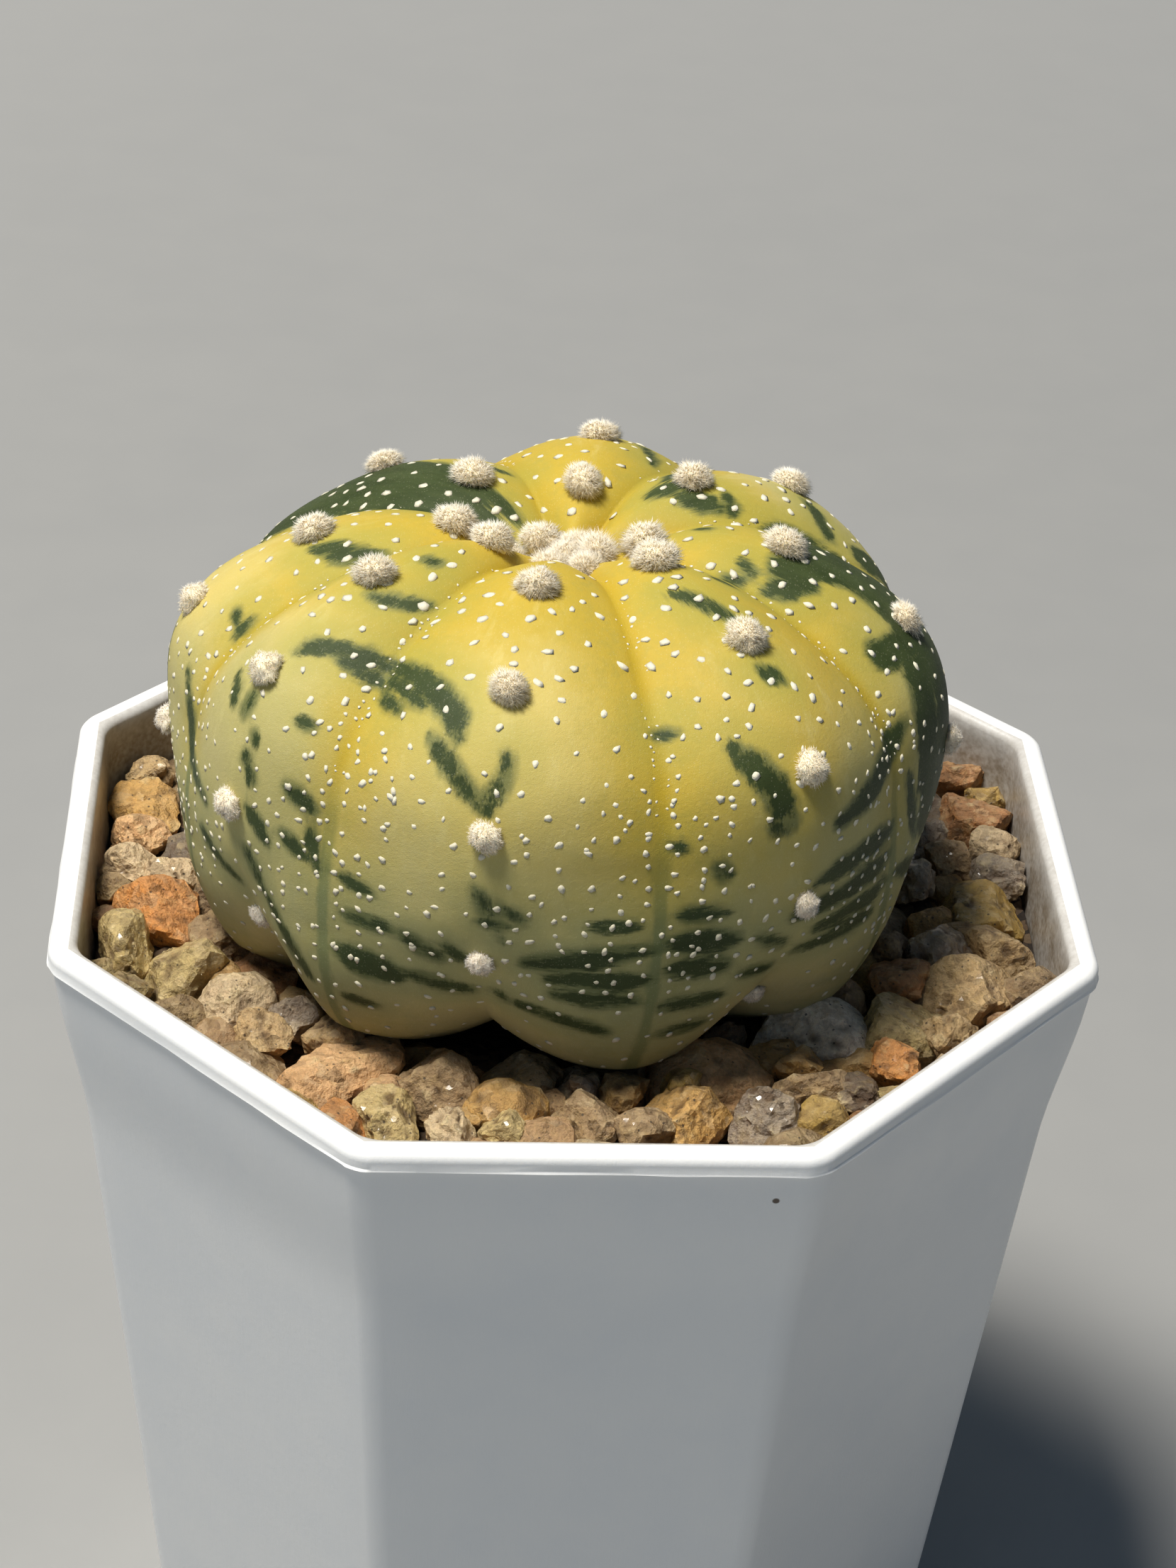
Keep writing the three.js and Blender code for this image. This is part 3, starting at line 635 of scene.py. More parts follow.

# %% [markdown]
# Variegation is where patches of skin have no green. Here most of the skin is yellow, and what is left
# of the green lies in brush-like strokes. A picture could hold them, but a painted texture would be
# flat and stop at its own grain. So each stroke is a line on the skin with a width, listed as a grower
# would sketch it. Narrow strokes taper to a point. Every point of the skin carries its distance to the
# nearest stroke's edge, which the finish turns into a ragged one.

# %% Stem: strokes of green
# Pairs of a place between ribs and a latitude in degrees along each stroke, then its width in
# millimetres.
GREEN_STROKES = [
    # The front rib and its left groove.
    (7.5, 38.5, 7.66, 38.5, 7.78, 36, 7.85, 32, 7.87, 28, 1.45), (7.51, 35, 7.61, 35, 7.72, 33, 0.85),
    (7.53, 32, 7.64, 29.5, 0.6), (7.79, 26, 7.86, 21, 7.93, 16, 7.99, 11, 0.9),
    (8.03, 25, 8.02, 18, 8.0, 11, 0.6), (7.98, -2.5, 8.02, -6, 0.7), (8.05, -5, 8.12, -7.5, 0.55),
    (8.0, -8, 8.08, -8.5, 0.5), (8.05, -10.5, 8.06, -12, 0.35), (7.58, -14, 7.72, -14, 0.9),
    (7.56, -7, 7.66, -8, 0.7), (7.56, -22, 7.75, -25, 2.0), (7.77, -15, 7.88, -18, 0.8),
    (7.9, -15, 7.97, -18, 0.8), (7.78, -24, 7.97, -27, 0.9), (7.56, -33, 7.65, -34, 0.6),
    (8.13, -16.5, 8.25, -15.5, 8.48, -13, 1.15), (8.3, -8, 8.44, -8, 0.75), (8.2, -19.8, 8.48, -19.3, 1.3),
    (8.22, -23.7, 8.45, -24.2, 1.0), (8.1, -28, 8.38, -32, 0.8), (8.05, -26, 8.08, -28, 0.7),
    # The rib right of it.
    (0.53, 4, 0.57, 3.5, 0.7), (0.67, 0, 0.72, -1, 1.0), (0.56, -7, 0.72, -7, 0.9),
    (0.54, -12, 0.76, -13, 1.4), (0.54, -18, 0.74, -18.5, 1.3), (0.54, -26, 0.75, -26, 0.9),
    (0.55, -33, 0.72, -33, 0.7), (0.5, 29, 0.57, 30, 0.5), (0.75, 26, 0.8, 21, 0.86, 16, 0.91, 12, 1.7),
    (0.86, 15, 0.9, 8, 1.6), (0.86, 8, 0.86, 5, 0.5), (0.92, 8, 0.92, 5, 0.45),
    (0.85, 65, 0.93, 62, 1.03, 56, 1.1), (0.98, 43, 1.02, 40, 1.3), (1.3, 66, 1.36, 63, 0.7),
    (1.6, 14, 1.48, 10, 1.32, 6, 1.12, 3, 1.7), (1.48, -4, 1.25, -4, 1.05, -5, 1.6),
    (1.46, -9, 1.2, -10, 0.98, -11, 1.5), (1.46, -14, 1.1, -16, 1.2), (1.4, -19, 1.05, -21, 1.0),
    (0.85, -14, 0.97, -17, 0.6), (0.82, -22, 0.95, -24, 0.7),
    # The right-hand rib, whose outer side is all green.
    (1.57, 57, 1.7, 55, 1.85, 54, 1.9), (1.8, 59, 1.95, 52, 2.4), (1.62, 62, 1.72, 66, 0.8),
    (1.45, 65, 1.58, 62, 0.7), (2.2, 75, 2.1, 74, 0.6), (1.7, 31, 1.85, 29, 2.0, 31, 2.3),
    (2.2, 50, 2.15, 30, 2.1, 10, 2.1, -12, 5.4), (2.38, 55, 2.36, 30, 2.35, 0, 2.35, -25, 5.2),
    (2.1, 56, 2.04, 40, 1.97, 22, 1.94, 5, 1.92, -14, 4.6), (1.72, 18, 1.7, 6, 1.74, -6, 1.6),
    (1.8, 22, 1.75, 8, 1.78, -8, 3.0), (1.6, 2, 1.68, -10, 1.2), (1.55, -14, 1.8, -18, 1.2),
    # The rib behind it, yellow-green with stripes.
    (3.1, 78, 2.95, 70, 1.8), (2.85, 75, 2.66, 69, 1.9), (3.2, 73, 3.35, 67, 0.9), (2.8, 67, 2.58, 66, 0.7),
    (2.85, 46, 2.62, 42, 1.3), (2.62, 30, 2.7, 5, 2.68, -22, 2.6), (3.05, 38, 3.1, 28, 1.1),
    (3.2, 20, 3.12, 5, 1.0), (3.36, 12, 3.42, -6, 0.9), (2.9, -8, 3.1, -12, 0.9),
    (3.2, -17, 3.42, -18, 1.1), (2.95, -26, 3.3, -28, 1.0),
    # The back rib, mostly yellow.
    (3.62, 60, 3.78, 50, 0.8), (3.6, 34, 3.68, 25, 3.74, 20, 1.3), (3.95, 24, 4.05, 14, 4.04, 6, 1.4),
    (4.22, 36, 4.32, 30, 4.36, 24, 1.0), (3.6, -4, 3.8, -8, 1.1), (3.62, -16, 4.0, -19, 1.0),
    (4.1, -12, 4.38, -9, 1.1), (3.7, -27, 4.2, -30, 1.0),
    # The rib left of it at the back, mostly green.
    (5.02, 82, 5.08, 72, 1.4), (5.3, 70, 5.28, 50, 5.28, 30, 6.2), (5.12, 66, 5.06, 48, 5.05, 30, 4.2),
    (5.27, 26, 5.25, 5, 5.2, -24, 7.0), (4.98, 20, 5.0, 0, 5.02, -18, 3.6), (5.35, 80, 5.3, 72, 2.0),
    (4.62, 68, 4.75, 64, 0.6), (4.64, 22, 4.72, 4, 1.4), (4.6, -10, 4.8, -16, 1.2),
    # The left-hand rib, yellow above.
    (6.17, 50, 6.3, 56, 1.4), (6.32, 52, 6.42, 60, 1.3), (6.55, 47, 6.62, 52, 1.3), (7.1, 66, 7.2, 67, 0.5),
    (5.62, 30, 5.66, 10, 5.72, -6, 1.8), (5.98, 8, 6.02, -6, 1.0), (6.33, 8, 6.5, -4, 6.75, -7, 0.9),
    (5.7, -16, 6.1, -20, 1.2), (6.2, -14, 6.42, -18, 0.9),
    # The front left rib.
    (7.12, 53, 7.28, 54, 7.43, 56, 0.9), (7.07, 34, 7.12, 37, 7.25, 39, 7.38, 39, 7.52, 37, 1.0),
    (7.26, 36.5, 7.4, 35.5, 7.52, 33, 1.0), (6.43, 28, 6.45, 22, 0.45), (6.33, 27, 6.4, 25, 0.5),
    (6.83, 21, 6.89, 15.5, 0.95), (7.0, 20, 6.98, 15, 0.7), (7.26, 19.5, 7.34, 19, 0.6),
    (7.09, 12, 7.1, 10, 0.45), (7.07, 7, 7.06, 5, 0.4), (7.1, 4, 7.1, 1, 0.45), (7.1, -2, 7.2, -6, 1.0),
    (7.3, 3, 7.42, 1, 0.85), (7.28, -4, 7.4, -6, 0.9), (7.42, -2, 7.47, -8, 1.0),
    (7.08, -10, 7.15, -17, 7.27, -24, 0.5), (7.22, -22, 7.4, -32, 1.0), (6.7, -14, 6.95, -20, 0.8),
]
STROKE_STEPS = 6
STROKE_SPREAD = 0.16
BROAD_STROKE = 2
TAPER = (-0.25, 0.3)
BRUSH_NEAR = 1.2
FAR_FROM_GREEN = 6


def stroke_line(stroke):
    """Points of the stem along a stroke, close enough to follow its curve."""
    knots = np.array(stroke[:-1], float).reshape(-1, 2)
    along = np.linspace(0, len(knots) - 1, STROKE_STEPS * (len(knots) - 1) + 1)
    rib = np.interp(along, range(len(knots)), knots[:, 0]) % RIB_COUNT
    latitude = np.radians(np.interp(along, range(len(knots)), knots[:, 1]))
    return stem_points(latitude, rib)


def distance_to_line(points, line):
    """The distance from each point to a line of short pieces, and how far along it that is, from 0 to 1."""
    nearest = np.full(len(points), np.inf)
    along = np.zeros(len(points))
    for step, (start, end) in enumerate(zip(line[:-1], line[1:])):
        run = end - start
        share = np.clip((points - start) @ run / (run @ run), 0, 1)
        distance = np.linalg.norm(points - start - share[:, None] * run, axis=1)
        closer = distance < nearest
        nearest = np.where(closer, distance, nearest)
        along = np.where(closer, (step + share) / (len(line) - 1), along)
    return nearest, along


def green_distance(points):
    """Distance from each point to the edge of the nearest stroke, below 0 inside it, and how much the
    strokes near it run around the stem: 0 for up and down, 1 for level."""
    edge = np.full(len(points), float(FAR_FROM_GREEN))
    level = np.full(len(points), 0.5e-3)
    weights = np.full(len(points), 1e-3)
    for stroke in GREEN_STROKES:
        line = stroke_line(stroke)
        middle = line.mean(0)
        reach = np.linalg.norm(line - middle, axis=1).max() + stroke[-1] + FAR_FROM_GREEN
        close = np.linalg.norm(points - middle, axis=1) < reach
        distance, along = distance_to_line(points[close], line)
        to_end = np.minimum(along, 1 - along)
        pointed = 1 if stroke[-1] > BROAD_STROKE else smoothstep(*TAPER, to_end)
        here = distance - stroke[-1] / 2 * pointed - STROKE_SPREAD
        edge[close] = np.minimum(edge[close], here)
        run = line[-1] - line[0]
        upright = abs(run[2]) + abs(np.linalg.norm(line[-1][:2]) - np.linalg.norm(line[0][:2]))
        weight = np.exp(-np.maximum(here, 0) / BRUSH_NEAR)
        level[close] += weight * (1 - min(upright / np.linalg.norm(run), 1))
        weights[close] += weight
    return edge, level / weights


print("strokes of green:", len(GREEN_STROKES))

# %% Stem: mesh
COLUMNS_PER_RIB = 32
ROWS = 176


def carry(mesh, name, kind, values):
    """Gives each point of a mesh a value under a name."""
    attribute = mesh.attributes.new(name, kind, "POINT")
    field = "vector" if kind == "FLOAT_VECTOR" else "value"
    attribute.data.foreach_set(field, np.asarray(values, np.float32).ravel())


def stem_mesh():
    """A ball, whose points are moved to the stem's surface."""
    bm = bmesh.new()
    bmesh.ops.create_uvsphere(bm, u_segments=RIB_COUNT * COLUMNS_PER_RIB, v_segments=ROWS, radius=1)
    ball = np.array([vert.co[:] for vert in bm.verts])
    latitude = np.arcsin(np.clip(ball[:, 2], -1, 1))
    rib = (np.arctan2(ball[:, 1], ball[:, 0]) / math.tau * RIB_COUNT) % RIB_COUNT
    rib = np.round(rib * COLUMNS_PER_RIB) / COLUMNS_PER_RIB % RIB_COUNT
    points = stem_points(latitude, rib)
    outward = points - np.array([0, 0, EQUATOR])
    outward /= np.linalg.norm(outward, axis=1)[:, None]
    for vert, place in zip(bm.verts, points + outward * wavy(points)[:, None]):
        vert.co = plant_matrix @ Vector(place)
    return bm, latitude, rib, points


# Places between ribs, and the latitude in degrees where the yellow begins to fade there.
WASH_RIBS = [0, 0.5, 1, 1.4, 2, 3, 4, 5, 6, 6.6, 7, 7.6, 8]
WASH_STARTS = [22, 20, 26, 52, 62, 84, 30, 40, 34, 50, 62, 30, 22]
WASH_FALL = 46


def wash_of(latitude, rib):
    """How far the yellow has faded: more on the sides, and sooner on some ribs."""
    starts = np.interp(rib, WASH_RIBS, WASH_STARTS)
    return smoothstep(starts, starts - WASH_FALL, np.degrees(latitude))


def groove_gap(points, rib):
    """The distance from each point to its nearest groove line, in millimetres around the stem."""
    to_groove = np.abs(rib - np.floor(rib) - 0.5)
    return to_groove * math.tau / RIB_COUNT * np.linalg.norm(points[:, :2], axis=1)


# %% [markdown]
# The skin is waxy and a little translucent, like a grape's. Its colours are laid over one another as
# they lie on the plant: gold, creamy lower down but less so on the sunny side, faded by the wash, grey
# at the base, olive clouds, and paler upright streaks. The grooves are gold near the crown and hold a
# green line lower down. The strokes tinge the skin around them. Each is a thin wash of green under
# dark streaks, whose noise is stretched along the stroke, as the cells of the skin are.

# %% Stem: finish
SUNNY_WAY = (0.74, -0.67, 0)
# Places along the ribs for stretched noise: a cylinder's radius, and its height for each degree.
AROUND = 24
UPWARD = 0.42


def brushed(along, level, scale, fine_share):
    """Noise drawn out along the nearest stroke, whether that runs upright or level."""
    upright = grain(stretched(along, (1, 1, 0.3)), scale, fine_share)
    round_about = grain(stretched(along, (0.3, 0.3, 1)), scale, fine_share)
    return between(level, upright, round_about)


def stem_skin():
    gold = (0.50, 0.36, 0.043)
    material, tree, shader = new_material("stem_skin", gold)
    place = in_millimetres(tree)
    along = painted(tree, "along_rib", "Vector")
    names = ("latitude", "wash", "green_edge", "level_brush", "groove_gap")
    latitude, wash, edge, level, gap = (painted(tree, name) for name in names)
    cloud = grain(place, 0.16, 0.35)
    upright = grain(stretched(along, (1, 1, 0.3)), 0.7, 0.3)
    brush = brushed(along, level, 0.6, 0.2)
    streaks = brushed(along, level, 1.4, 0.35)

    creamy = eased(plus(latitude, eased(cloud, 0.3, 0.7, -9, 9)), 66, 28, 0, 0.8)
    creamy = times(creamy, eased(gap, 1, 6.5, 0.1, 1))
    sunny = vector("DOT_PRODUCT", along, SUNNY_WAY, output="Value")
    creamy = times(creamy, eased(sunny, 17, 23.5, 1, 0.4))
    faded = eased(plus(wash, eased(cloud, 0.3, 0.7, -0.16, 0.16)), 0, 1)
    low = eased(plus(latitude, eased(brush, 0.3, 0.7, -5, 5)), -4, -40)
    olive = eased(grain(place, 0.42, 0.5), 0.42, 0.7, 0, 0.4)
    lighter = eased(upright, 0.5, 0.72, 0, 0.28)
    line_width = eased(upright, 0.3, 0.7, 0.5, 1.1)
    green_line = eased(total("DIVIDE", gap, line_width), 1, 0.3)

    soft_edge = plus(edge, eased(brush, 0.3, 0.7, 0.35, -0.3))
    near_stroke = eased(soft_edge, 2.6, 0.1, 0, 0.5)
    near_groove = eased(plus(gap, eased(brush, 0.3, 0.7, -1.5, 1.5)), 7, 1, 0, 0.55)
    greyed = total("MAXIMUM", near_stroke, near_groove)
    thin_green = mixed(eased(cloud, 0.35, 0.65), (0.07, 0.095, 0.03), (0.12, 0.145, 0.06))
    deep = plus(total("MAXIMUM", edge, -0.7), eased(streaks, 0.3, 0.7, 0.4, -0.4))
    dark_green = mixed(eased(brush, 0.3, 0.7), (0.042, 0.062, 0.019), (0.021, 0.037, 0.009))
    pores = specks(place, 5.5, 0.45, 0.32)
    skin = layered(
        gold,
        (creamy, (0.61, 0.50, 0.165)),
        (times(faded, eased(gap, 0.5, 5, 0.45, 1)), (0.50, 0.44, 0.18)),
        (low, (0.48, 0.43, 0.21)),
        (times(olive, eased(gap, 9, 1)), (0.37, 0.32, 0.065)),
        (times(lighter, eased(gap, 2, 6)), (0.72, 0.64, 0.28)),
        (times(eased(gap, 1.1, 0.05), eased(latitude, -6, 16, 0, 0.8)), (0.45, 0.31, 0.018)),
        (times(green_line, eased(latitude, 12, -14, 0, 0.9)), (0.085, 0.12, 0.03)),
        (times(eased(soft_edge, 4.2, 0.2, 0, 0.65), eased(latitude, 10, 45, 0.3, 1)), (0.34, 0.315, 0.06)),
        (times(greyed, eased(latitude, 2, -14)), (0.24, 0.26, 0.13)),
        (eased(soft_edge, 0.6, -0.25, 0, 0.8), thin_green),
        (eased(deep, 0.12, -0.4, 0, 0.93), dark_green),
        (times(pores, 0.08), (0.9, 0.85, 0.6)),
    )
    fine = grain(place, 4.2, 0.5)
    fill(shader, {
        "Base Color": skin,
        "Roughness": eased(fine, 0.3, 0.7, 0.52, 0.64),
        "Subsurface Weight": 0.12,
        "Subsurface Scale": 0.0014,
        "Subsurface Radius": (1, 0.7, 0.25),
        "Specular IOR Level": 0.22,
        "Normal": bumped(plus(fine, times(cloud, 1.5)), 0.05),
    })
    return material


def build_stem():
    """The skin, whose points carry what the finish reads."""
    bm, latitude, rib, points = stem_mesh()
    edge, level = green_distance(points)
    turn = rib_azimuth(rib)
    degrees = np.degrees(latitude)
    piece = finished("stem_skin", bm, stem_skin(), ["cactus_stem"])
    wrapped = np.stack([np.cos(turn) * AROUND, np.sin(turn) * AROUND, degrees * UPWARD], -1)
    carry(piece.data, "along_rib", "FLOAT_VECTOR", wrapped)
    carried = {"latitude": degrees, "wash": wash_of(latitude, rib), "green_edge": edge,
               "level_brush": level, "groove_gap": groove_gap(points, rib)}
    for name, values in carried.items():
        carry(piece.data, name, "FLOAT", values)


build_stem()

# %% [markdown]
# Star cacti are strewn with white flecks, each a tiny tuft of woolly scales that lies nearly flat on the
# skin. A dotted texture would look printed at this distance, so each fleck is a flattened lump of
# twenty faces. A few lumps are made, and copies of them are turned and scaled. Three seeded rules place
# them as on the real plant: in drifts all over, in broken upright rows beside the grooves from the
# crown's edge down, and as fine beads along the creases near the crown.

# %% Flecks
FLECK_RADIUS = 0.26
FLECK_KNOCK = 0.28
FLECK_FLATNESS = 0.2
FLECK_KINDS = 12
FLECK_SEED = 5
LOOSE_TRIES = 9000
LOOSE_SPACING = 1.5
LOOSE_LATITUDES = (-48, 84)
ROWS_BESIDE_GROOVE = 5
ROW_WIDTH = 1.75
ROW_STEP = 2.7
ROW_TOP = 26
ROW_FALL = 5
ROW_END = -24
ROW_SHARE = 0.8
ROW_THINNING = 0.07
BEAD_OFF_GROOVE = 0.3
BEAD_STEP = 1.5
BEAD_TOP = 74
BEAD_END = 8
BEAD_SHARE = 0.45


def fleck_lump(draw):
    """A small ball, knocked out of true and flattened."""
    bm = bmesh.new()
    bmesh.ops.create_icosphere(bm, subdivisions=1, radius=FLECK_RADIUS)
    for vert in bm.verts:
        vert.co *= draw.uniform(1 - FLECK_KNOCK, 1 + FLECK_KNOCK)
        vert.co.z *= FLECK_FLATNESS
    return mesh_of("lump", bm)


def add_copy(bm, mesh, matrix):
    """Adds a copy of a small mesh at a place."""
    mesh.transform(matrix)
    bm.from_mesh(mesh)
    mesh.transform(matrix.inverted())


def off_groove(groove, millimetres, latitude):
    """The place between ribs at a distance around the stem from a groove."""
    radius = np.linalg.norm(stem_points(np.array([latitude]), np.array([groove % RIB_COUNT]))[0][:2])
    return (groove + millimetres / (radius * math.tau / RIB_COUNT)) % RIB_COUNT


def loose_flecks(draw):
    """Flecks strewn evenly by area, in looser and denser drifts: latitude, place between ribs and size."""
    kept = np.zeros((0, 3))
    places = []
    for _ in range(LOOSE_TRIES):
        latitude = math.radians(draw.uniform(*LOOSE_LATITUDES))
        rib = draw.uniform(0, RIB_COUNT)
        point = stem_points(np.array([latitude]), np.array([rib]))[0]
        spacing = LOOSE_SPACING * (1.15 + 0.9 * noise.noise(Vector(point) * 0.23))
        if draw.random() > np.linalg.norm(point[:2]) / BODY_RADIUS:
            continue
        if len(kept) and np.min(np.linalg.norm(kept - point, axis=1)) < spacing:
            continue
        kept = np.vstack([kept, point])
        places.append((latitude, rib, draw.uniform(0.55, 1) + 0.7 * max(math.sin(latitude), 0.2)))
    return places


def groove_sides():
    """The two sides of each groove: the groove's place between ribs, and -1 or 1."""
    return [(rib + 0.5, side) for rib in range(RIB_COUNT) for side in (-1, 1)]


def fleck_rows(draw):
    """Upright rows on both sides of each groove, thinner away from it."""
    places = []
    for groove, side in groove_sides():
        for row in range(1, ROWS_BESIDE_GROOVE + 1):
            degrees = ROW_TOP - ROW_FALL * row + draw.uniform(-5, 5)
            while degrees > ROW_END:
                latitude = math.radians(degrees + draw.uniform(-0.4, 0.4))
                away = side * (ROW_WIDTH * row - 0.8 + draw.uniform(-0.28, 0.28))
                if draw.random() < ROW_SHARE - ROW_THINNING * row:
                    places.append((latitude, off_groove(groove, away, latitude), draw.uniform(0.65, 1.1)))
                degrees -= ROW_STEP * draw.uniform(0.85, 1.2)
    return places


def groove_beads(draw):
    """Fine beads on the two lips of each crease near the crown."""
    places = []
    for groove, side in groove_sides():
        degrees = BEAD_TOP + draw.uniform(-4, 4)
        while degrees > BEAD_END:
            latitude = math.radians(degrees)
            away = side * BEAD_OFF_GROOVE * draw.uniform(0.6, 1.8)
            if draw.random() < BEAD_SHARE:
                places.append((latitude, off_groove(groove, away, latitude), draw.uniform(0.3, 0.5)))
            degrees -= BEAD_STEP * draw.uniform(0.7, 1.5)
    return places


def fleck_wool():
    cream = (0.85, 0.80, 0.63)
    material, tree, shader = new_material("fleck_wool", cream)
    place = in_millimetres(tree)
    fibres = grain(place, 9, 0.5)
    # Painted shade: the flecks are darker lower down the stem.
    shaded_lower_down = eased(axis_of(place, "Z"), 102, 88)
    between_fibres = eased(fibres, 0.3, 0.7, 0, 0.3)
    fill(shader, {
        "Base Color": layered(cream, (shaded_lower_down, (0.70, 0.65, 0.48)), (between_fibres, (0.60, 0.53, 0.33))),
        "Roughness": 0.9,
        "Sheen Weight": 0.3,
        "Normal": bumped(fibres, 0.05),
    })
    return material


def build_flecks():
    """All flecks as one piece."""
    draw = random.Random(FLECK_SEED)
    lumps = [fleck_lump(draw) for _ in range(FLECK_KINDS)]
    bm = bmesh.new()
    places = loose_flecks(draw) + fleck_rows(draw) + groove_beads(draw)
    print("flecks:", len(places))
    for latitude, rib, size in places:
        wide, narrow = size * draw.uniform(1, 1.3), size * draw.uniform(0.78, 1)
        shape = Matrix.Rotation(draw.uniform(0, math.tau), 4, "Z") @ Matrix.Diagonal((wide, narrow, size, 1))
        add_copy(bm, draw.choice(lumps), on_stem(latitude, rib) @ shape)
    finished("skin_flecks", bm, fleck_wool())


build_flecks()

# %% [markdown]
# The areoles, where spines would be on other cacti, are round cushions of short, dense wool. They
# stand in a row on each rib's crest, wider near the crown. Hair curves would be lost in the exported
# model, so a cushion is a lumpy ball with more than a thousand thin cones for fibres. Four cushions are
# made for the upper rows and four for the lower ones. Copies of them are turned and scaled.

# %% Tufts
TUFT_SPACING = 10.1
TUFT_REACH = 52
TUFT_WIDTH_TOP = 1.7
TUFT_WIDTH_BASE = 1.0
TUFT_HEIGHT_SHARE = 0.7
TUFT_SEED = 21
TUFT_KINDS = 4
UPPER_REACH = 27
# A cushion of radius 1: how many fibres, their length and thickness, how far they lean, and its lumps.
UPPER_WOOL = (1700, 0.46, 0.018, 0.34, 0.26)
LOWER_WOOL = (1150, 0.3, 0.018, 0.34, 0.3)
# Young tufts off the rows: place between ribs, latitude in degrees, half width.
YOUNG_TUFTS = [(6.38, 82.7, 1.6), (4.95, 86, 1.75)]
CREST_STEPS = 400


def tuft_latitudes(rib):
    """Latitudes at even steps along a rib's crest, and the way from the apex to each."""
    latitude = math.pi / 2 - math.pi * 0.9 * np.arange(CREST_STEPS + 1) / CREST_STEPS
    points = stem_points(latitude, np.full(CREST_STEPS + 1, float(rib)))
    along = np.concatenate([[0], np.cumsum(np.linalg.norm(np.diff(points, axis=0), axis=1))])
    found = []
    next_at = FIRST_TUFT[rib]
    while next_at < TUFT_REACH:
        found.append((float(np.interp(next_at, along, latitude)), next_at))
        next_at += TUFT_SPACING
    return found


def swelling(place, scales, offset):
    """Two layers of noise, by which a cushion is lumpy."""
    coarse, fine = scales
    return noise.noise(place * coarse + offset) + 0.6 * noise.noise(place * fine + offset)


def woolly_tuft(draw, fibres, length, thickness, tangle, lumps):
    """A cushion of radius 1: a lumpy ball with fibres on its upper side and rim, which lean every way."""
    bm = bmesh.new()
    shade = bm.verts.layers.float.new("fibre_tip")
    bmesh.ops.create_icosphere(bm, subdivisions=3, radius=0.8)
    offset = Vector((draw.uniform(0, 50), draw.uniform(0, 50), 0))
    for vert in bm.verts:
        vert.co *= 1 + lumps * swelling(vert.co, (2.1, 5), offset)
    for _ in range(fibres):
        lift = draw.uniform(-0.3, 1)
        turn = draw.uniform(0, math.tau)
        level = math.sqrt(1 - lift * lift)
        outward = Vector((level * math.cos(turn), level * math.sin(turn), lift))
        swirl = noise.noise_vector(outward * 3.6 + offset) * 0.35
        aim_at = (outward + swirl + Vector([draw.gauss(0, tangle) for _ in range(3)])).normalized()
        long = length * draw.uniform(0.5, 1.2)
        root = outward * draw.uniform(0.72, 0.82) * (1 + lumps * swelling(outward, (1.7, 4), offset))
        place = Matrix.Translation(root + aim_at * long / 2)
        made = bmesh.ops.create_cone(bm, cap_ends=True, segments=3, radius1=thickness, radius2=0, depth=long,
                                     matrix=place @ aim_at.to_track_quat("Z", "Y").to_matrix().to_4x4())
        for vert in made["verts"]:
            vert[shade] = 1 if (vert.co - root).length > long / 2 else 0.4
    return mesh_of("tuft", bm)


def areole_wool():
    cream = (0.99, 0.88, 0.64)
    material, tree, shader = new_material("areole_wool", cream)
    place = in_millimetres(tree)
    tip = painted(tree, "fibre_tip")
    fill(shader, {
        "Base Color": layered(
            cream,
            (eased(axis_of(place, "Z"), 102, 86), (0.97, 0.88, 0.74)),
            (eased(grain(place, 0.35, 0.3), 0.35, 0.65, 0, 0.35), (0.93, 0.79, 0.56)),
            (eased(tip, 0.1, 0.9, 0.3, 0), (0.86, 0.70, 0.46)),
            (eased(tip, 0.6, 1, 0, 0.5), (1.0, 0.97, 0.87)),
        ),
        "Roughness": 0.95,
        "Subsurface Weight": 0.4,
        "Subsurface Scale": 0.0008,
        "Subsurface Radius": (1, 0.85, 0.6),
        "Specular IOR Level": 0.15,
        "Sheen Weight": 0.15,
        "Sheen Roughness": 0.5,
    })
    return material


WOOL = areole_wool()


def tuft_places():
    """Where each tuft stands: its latitude, place between ribs, half width and way from the apex."""
    places = [(math.radians(degrees), rib, width, 0) for rib, degrees, width in YOUNG_TUFTS]
    for rib in range(RIB_COUNT):
        for latitude, along in tuft_latitudes(rib):
            width = TUFT_WIDTH_TOP + (TUFT_WIDTH_BASE - TUFT_WIDTH_TOP) * along / TUFT_REACH
            places.append((latitude, rib, width, along))
    return places


def build_tufts(name, upper, wool):
    """The tufts of the upper or of the lower half: the upper ones are larger and have more fibres."""
    draw = random.Random(TUFT_SEED + upper)
    seeds = [woolly_tuft(draw, *wool) for _ in range(TUFT_KINDS)]
    bm = bmesh.new()
    bm.verts.layers.float.new("fibre_tip")
    for latitude, rib, width, along in tuft_places():
        if (along < UPPER_REACH) != upper:
            continue
        width *= draw.uniform(0.95, 1.08)
        tall = width * TUFT_HEIGHT_SHARE * draw.uniform(0.95, 1.15)
        shape = Matrix.Translation((0, 0, 0.16 * width)) @ Matrix.Rotation(draw.uniform(0, math.tau), 4, "Z")
        shape = shape @ Matrix.Diagonal((width, width * draw.uniform(0.85, 1), tall, 1))
        add_copy(bm, draw.choice(seeds), on_stem(latitude, rib) @ shape)
    finished(name, bm, WOOL)


print("tufts:", len(tuft_places()))
build_tufts("upper_tufts", True, UPPER_WOOL)
build_tufts("lower_tufts", False, LOWER_WOOL)

# %% [markdown]
# In the middle of the crown the youngest tufts crowd into one soft knot. Their wool is longer and looser
# than on the ribs, so the same cushion is made again with finer, longer fibres that lean more.

